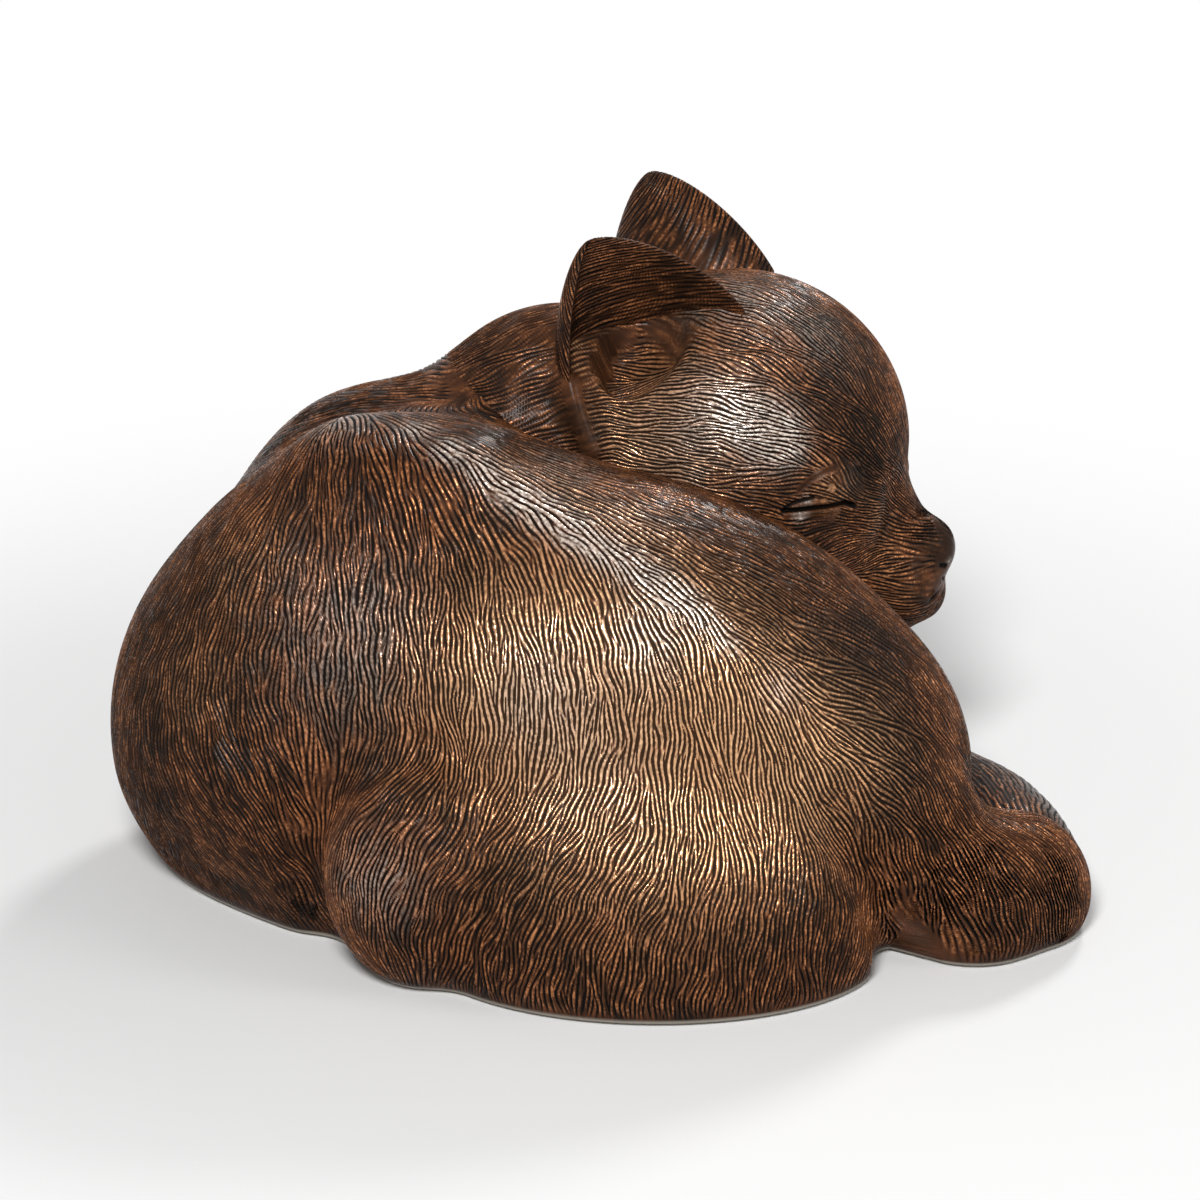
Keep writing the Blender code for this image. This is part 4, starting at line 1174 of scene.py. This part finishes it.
bronze = {
    "groove": (0.0030, 0.0018, 0.0012),
    "rubbedLitGroove": (0.034, 0.017, 0.008),
    "brown": (0.023, 0.0100, 0.0052),
    "redBrown": (0.155, 0.054, 0.0205),
    "copper": (0.54, 0.220, 0.088),
    "goldWearAndLight": (0.94, 0.58, 0.315),
    "highlightSilver": (0.96, 0.85, 0.75),
    "darkAndShaded": (0.020, 0.0125, 0.0085),
    "bare": (0.30, 0.27, 0.23),
    "roughness": (0.60, 0.23),
    # between which values each of these goes from none to full
    "ridge": (-0.46, 0.44),
    "crest": (0.20, 0.90),
    "flecks": (0.42, 0.64),
    "cloud": (0.35, 0.65),
    "streak": (0.25, 0.85),
    "paintedSilver": (-0.10, 0.80),
    "gloss": 0.075,
}


def makeBronze(name):
    # dark grooves, brown and red ridges, copper on the crests, gold where rubbed and as painted highlight, silver
    # as painted highlight, and painted shade
    material, nodes, links, shader = newMaterial(name)

    def attribute(key):
        return addNode(nodes, "ShaderNodeAttribute", attribute_name=key).outputs["Fac"]

    def between(source, key):
        return ranged(nodes, links, source, *bronze[key])

    def times(first, second):
        return calculated(nodes, links, "MULTIPLY", first, second)

    def plus(first, second):
        return calculated(nodes, links, "ADD", first, second)

    def mixed(amount, first, second):
        return blended(nodes, links, amount, first, second)

    groove, tone, rubAndLight, highlightAmount, darkAndShaded, bare = (
        attribute(key) for key in ("groove", "tone", "rubAndLight", "highlightAmount", "darkAndShaded", "bare"))
    ridge, crest = between(groove, "ridge"), between(groove, "crest")
    flecks = between(noiseOf(nodes, links, 1100.0, 3.0, 0.65), "flecks")
    cloud = between(noiseOf(nodes, links, 60.0, 3.0), "cloud")
    streak = between(tone, "streak")
    # the patina: near-black grooves, and ridges between brown and red-brown, each with a tone of its own
    ridgeColour = mixed(plus(times(streak, 0.55), times(cloud, 0.45)), bronze["brown"], bronze["redBrown"])
    # painted shade darkens the ridges where shade falls, and the limbs are darker all over
    ridgeColour = mixed(times(darkAndShaded, 0.75), ridgeColour, bronze["darkAndShaded"])
    # grooves are lighter where rubbed and where the highlight is painted
    grooveColour = mixed(rubAndLight, bronze["groove"], bronze["rubbedLitGroove"])
    colour = mixed(ridge, grooveColour, ridgeColour)
    # worn bronze: a few crests everywhere, most of them where it is rubbed or a highlight is painted, and fewer
    # where shade is painted
    wornAndLitCrests = times(crest, times(flecks, plus(times(streak, plus(0.46, times(cloud, 0.48))), rubAndLight)))
    wornAndLitCrests = times(wornAndLitCrests, calculated(nodes, links, "SUBTRACT", 1.0, times(darkAndShaded, 0.6)))
    colour = mixed(times(wornAndLitCrests, 1.6), colour, bronze["copper"])
    # gold where rubbed, and as painted highlight
    goldenWearAndLight = times(times(rubAndLight, plus(times(streak, 0.55), 0.55)), times(crest, plus(times(flecks, 0.55), 0.55)))
    colour = mixed(goldenWearAndLight, colour, bronze["goldWearAndLight"])
    # painted highlight: pale silver on the ridges where the highlight patches lie
    paintedSilver = times(times(highlightAmount, plus(times(flecks, 0.95), 0.32)), between(groove, "paintedSilver"))
    colour = mixed(paintedSilver, colour, bronze["highlightSilver"])
    colour = mixed(bare, colour, bronze["bare"])
    links.new(colour, shader.inputs["Base Color"])
    links.new(times(plus(wornAndLitCrests, plus(goldenWearAndLight, times(paintedSilver, 0.6))), 0.7), shader.inputs["Metallic"])
    rough = ranged(nodes, links, ridge, 0, 1, *bronze["roughness"])
    links.new(rough, shader.inputs["Roughness"])
    bumped(nodes, links, shader, noiseOf(nodes, links, 1800.0, 3.0, 0.6), 0.35, 0.00010)
    shader.inputs["Specular IOR Level"].default_value = bronze["gloss"]
    return material


# noise is its scale, detail and roughness, and range is between which of its values the patches come.
# A roughness of four numbers follows the noise: from two of its values to two roughnesses
underside = {
    "pressed_board": {"colour": (0.19, 0.135, 0.085), "patch": 0.55, "patchFirst": True,
                      "noise": (420.0, 6.0, 0.7), "range": (0.3, 0.7),
                      "roughness": (0, 1, 0.85, 0.68), "bump": (0.4, 0.0002)},
    "stopper_rubber": {"colour": (0.018, 0.018, 0.018), "patch": 2.2, "noise": (1500.0, 3.0),
                       "roughness": 0.62, "bump": (0.25, 0.0001)},
    "pad_felt": {"colour": (0.030, 0.030, 0.032), "patch": 2.4, "noise": (2600.0, 5.0, 0.75),
                 "roughness": 0.95, "sheen": 0.3, "bump": (0.8, 0.0003)},
    "dowel_steel": {"colour": (0.55, 0.55, 0.56), "noise": (900.0, 2.0),
                    "roughness": (0.3, 0.7, 0.28, 0.44), "metallic": 1.0},
}


def makeUnderside(name):
    # noise blends the colour with its patches, raises the bump and, where two are given, blends roughness
    looks = underside[name]
    material, nodes, links, shader = newMaterial(name)
    grain = noiseOf(nodes, links, *looks["noise"])
    amount = ranged(nodes, links, grain, *looks["range"]) if "range" in looks else grain
    if "patch" in looks:
        colours = [looks["colour"], tuple(looks["patch"] * part for part in looks["colour"])]
        if looks.get("patchFirst"):
            colours.reverse()
        links.new(blended(nodes, links, amount, *colours), shader.inputs["Base Color"])
    else:
        shader.inputs["Base Color"].default_value = (*looks["colour"], 1)
    if isinstance(looks["roughness"], tuple):
        links.new(ranged(nodes, links, amount, *looks["roughness"]), shader.inputs["Roughness"])
    else:
        shader.inputs["Roughness"].default_value = looks["roughness"]
    shader.inputs["Metallic"].default_value = looks.get("metallic", 0.0)
    if "sheen" in looks:
        shader.inputs["Sheen Weight"].default_value = looks["sheen"]
    if "bump" in looks:
        bumped(nodes, links, shader, grain, *looks["bump"])
    return material


def dressNode(name, material):
    # a part of the model that stays takes a better finish
    for slot in frame["nodes"][name].material_slots:
        slot.material = material


studio = {
    "floor": (0.90, 0.90, 0.90),
    "floorReach": 12.0,
    "floorRoughness": 0.9,
    "floorGloss": 0.1,
    "fade": (0.15, 0.38),                       # the floor turns plain white between these distances
    "sky": 0.18,
    # place, size, power in watts
    "lamps": {
        "key": ((-0.20, -1.22, 1.25), 0.42, 23.0),
        "side": ((1.30, -0.60, 0.90), 0.60, 4.0),
        "back": ((0.50, 1.05, 1.02), 0.30, 8.0),
    },
}


def seenDirectly(nodes, links):
    # one for what the camera sees, in itself or through gloss or glass, and zero for what lights the scene
    path = addNode(nodes, "ShaderNodeLightPath").outputs
    gloss = calculated(nodes, links, "MAXIMUM", path["Is Glossy Ray"], path["Is Transmission Ray"])
    return calculated(nodes, links, "MAXIMUM", path["Is Camera Ray"], gloss)


def shared(nodes, links, amount, first, second, output):
    # shows one shader or the other, by an amount
    both = addNode(nodes, "ShaderNodeMixShader")
    for place, source in enumerate((amount, first.outputs[0], second.outputs[0])):
        links.new(source, both.inputs[place])
    links.new(both.outputs[0], nodes[output].inputs["Surface"])


def makeFloor():
    # a pale floor that turns into plain white with the distance
    reach = studio["floorReach"]
    corners = [(-reach, -reach, 0), (reach, -reach, 0), (reach, reach, 0), (-reach, reach, 0)]
    mesh = bpy.data.meshes.new("floor")
    mesh.from_pydata(corners, [], [(0, 1, 2, 3)])
    floor = bpy.data.objects.new("floor", mesh)
    bpy.context.scene.collection.objects.link(floor)
    material, nodes, links, shader = newMaterial("pale_floor")
    shader.inputs["Base Color"].default_value = (*studio["floor"], 1)
    shader.inputs["Roughness"].default_value = studio["floorRoughness"]
    shader.inputs["Specular IOR Level"].default_value = studio["floorGloss"]
    glow = addNode(nodes, "ShaderNodeEmission", in_Strength=1.0)
    away = addNode(nodes, "ShaderNodeVectorMath", operation="LENGTH")
    links.new(addNode(nodes, "ShaderNodeTexCoord").outputs["Object"], away.inputs[0])
    far = ranged(nodes, links, away.outputs["Value"], *studio["fade"])
    amount = calculated(nodes, links, "MULTIPLY", far, seenDirectly(nodes, links))
    shared(nodes, links, amount, shader, glow, "Material Output")
    mesh.materials.append(material)


def makeWorld():
    # white to the eye, and a dim sky for what lights the statue
    world = bpy.data.worlds.new("studio")
    world.use_nodes = True
    nodes, links = world.node_tree.nodes, world.node_tree.links
    plain = nodes["Background"]
    plain.inputs["Color"].default_value = (1, 1, 1, 1)
    plain.inputs["Strength"].default_value = studio["sky"]
    white = addNode(nodes, "ShaderNodeBackground", in_Strength=1.0)
    shared(nodes, links, seenDirectly(nodes, links), plain, white, "World Output")
    bpy.context.scene.world = world


def makeLamps():
    # round lamps that face the statue
    aim = np.array(view["target"]) + statueShift
    for name, (place, size, power) in studio["lamps"].items():
        lamp = bpy.data.lights.new(name, "AREA")
        lamp.shape, lamp.size, lamp.energy = "DISK", size, power
        lampObject = bpy.data.objects.new(name, lamp)
        lampObject.location = place
        lampObject.rotation_euler = (Vector(place) - Vector(aim)).to_track_quat("Z", "Y").to_euler()
        bpy.context.scene.collection.objects.link(lampObject)


def makeCamera():
    # stands where the ray through the middle of the photograph starts, and looks down by the view's rise
    camera = bpy.data.cameras.new("camera")
    camera.lens, camera.sensor_width = view["lens"], view["sensor"]
    camera.clip_start, camera.clip_end = view["clip"]
    cameraObject = bpy.data.objects.new("camera", camera)
    start, _ = viewRay(view["picture"] / 2, view["picture"] / 2)
    cameraObject.location = start + statueShift
    cameraObject.rotation_euler = (math.radians(90 - view["rise"]), 0, 0)
    bpy.context.scene.collection.objects.link(cameraObject)
    bpy.context.scene.camera = cameraObject
    bpy.context.scene.view_settings.view_transform = "Standard"


bodyBronze, headBronze, tailBronze, legBronze = (
    makeBronze(name) for name in ("bronze_body", "bronze_head", "bronze_tail", "bronze_legs"))
makeBody(bodyBronze)
makeHead(headBronze)
makeEar("right_ear_coat", -1, headBronze)
makeEar("left_ear_coat", 1, headBronze)
report("ears")
for name, limb in limbs.items():
    makeLimb(name, limb, tailBronze if name.startswith("tail") else legBronze)
board, rubber, felt, steel = (makeUnderside(name) for name in underside)
for name in frame["nodes"]:
    if name.startswith("felt_pad"):
        dressNode(name, felt)
    elif name.endswith("dowel"):
        dressNode(name, steel)
dressNode("base_plate", board)
dressNode("pour_plug", rubber)
makeFloor()
makeWorld()
makeLamps()
makeCamera()
report("studio")
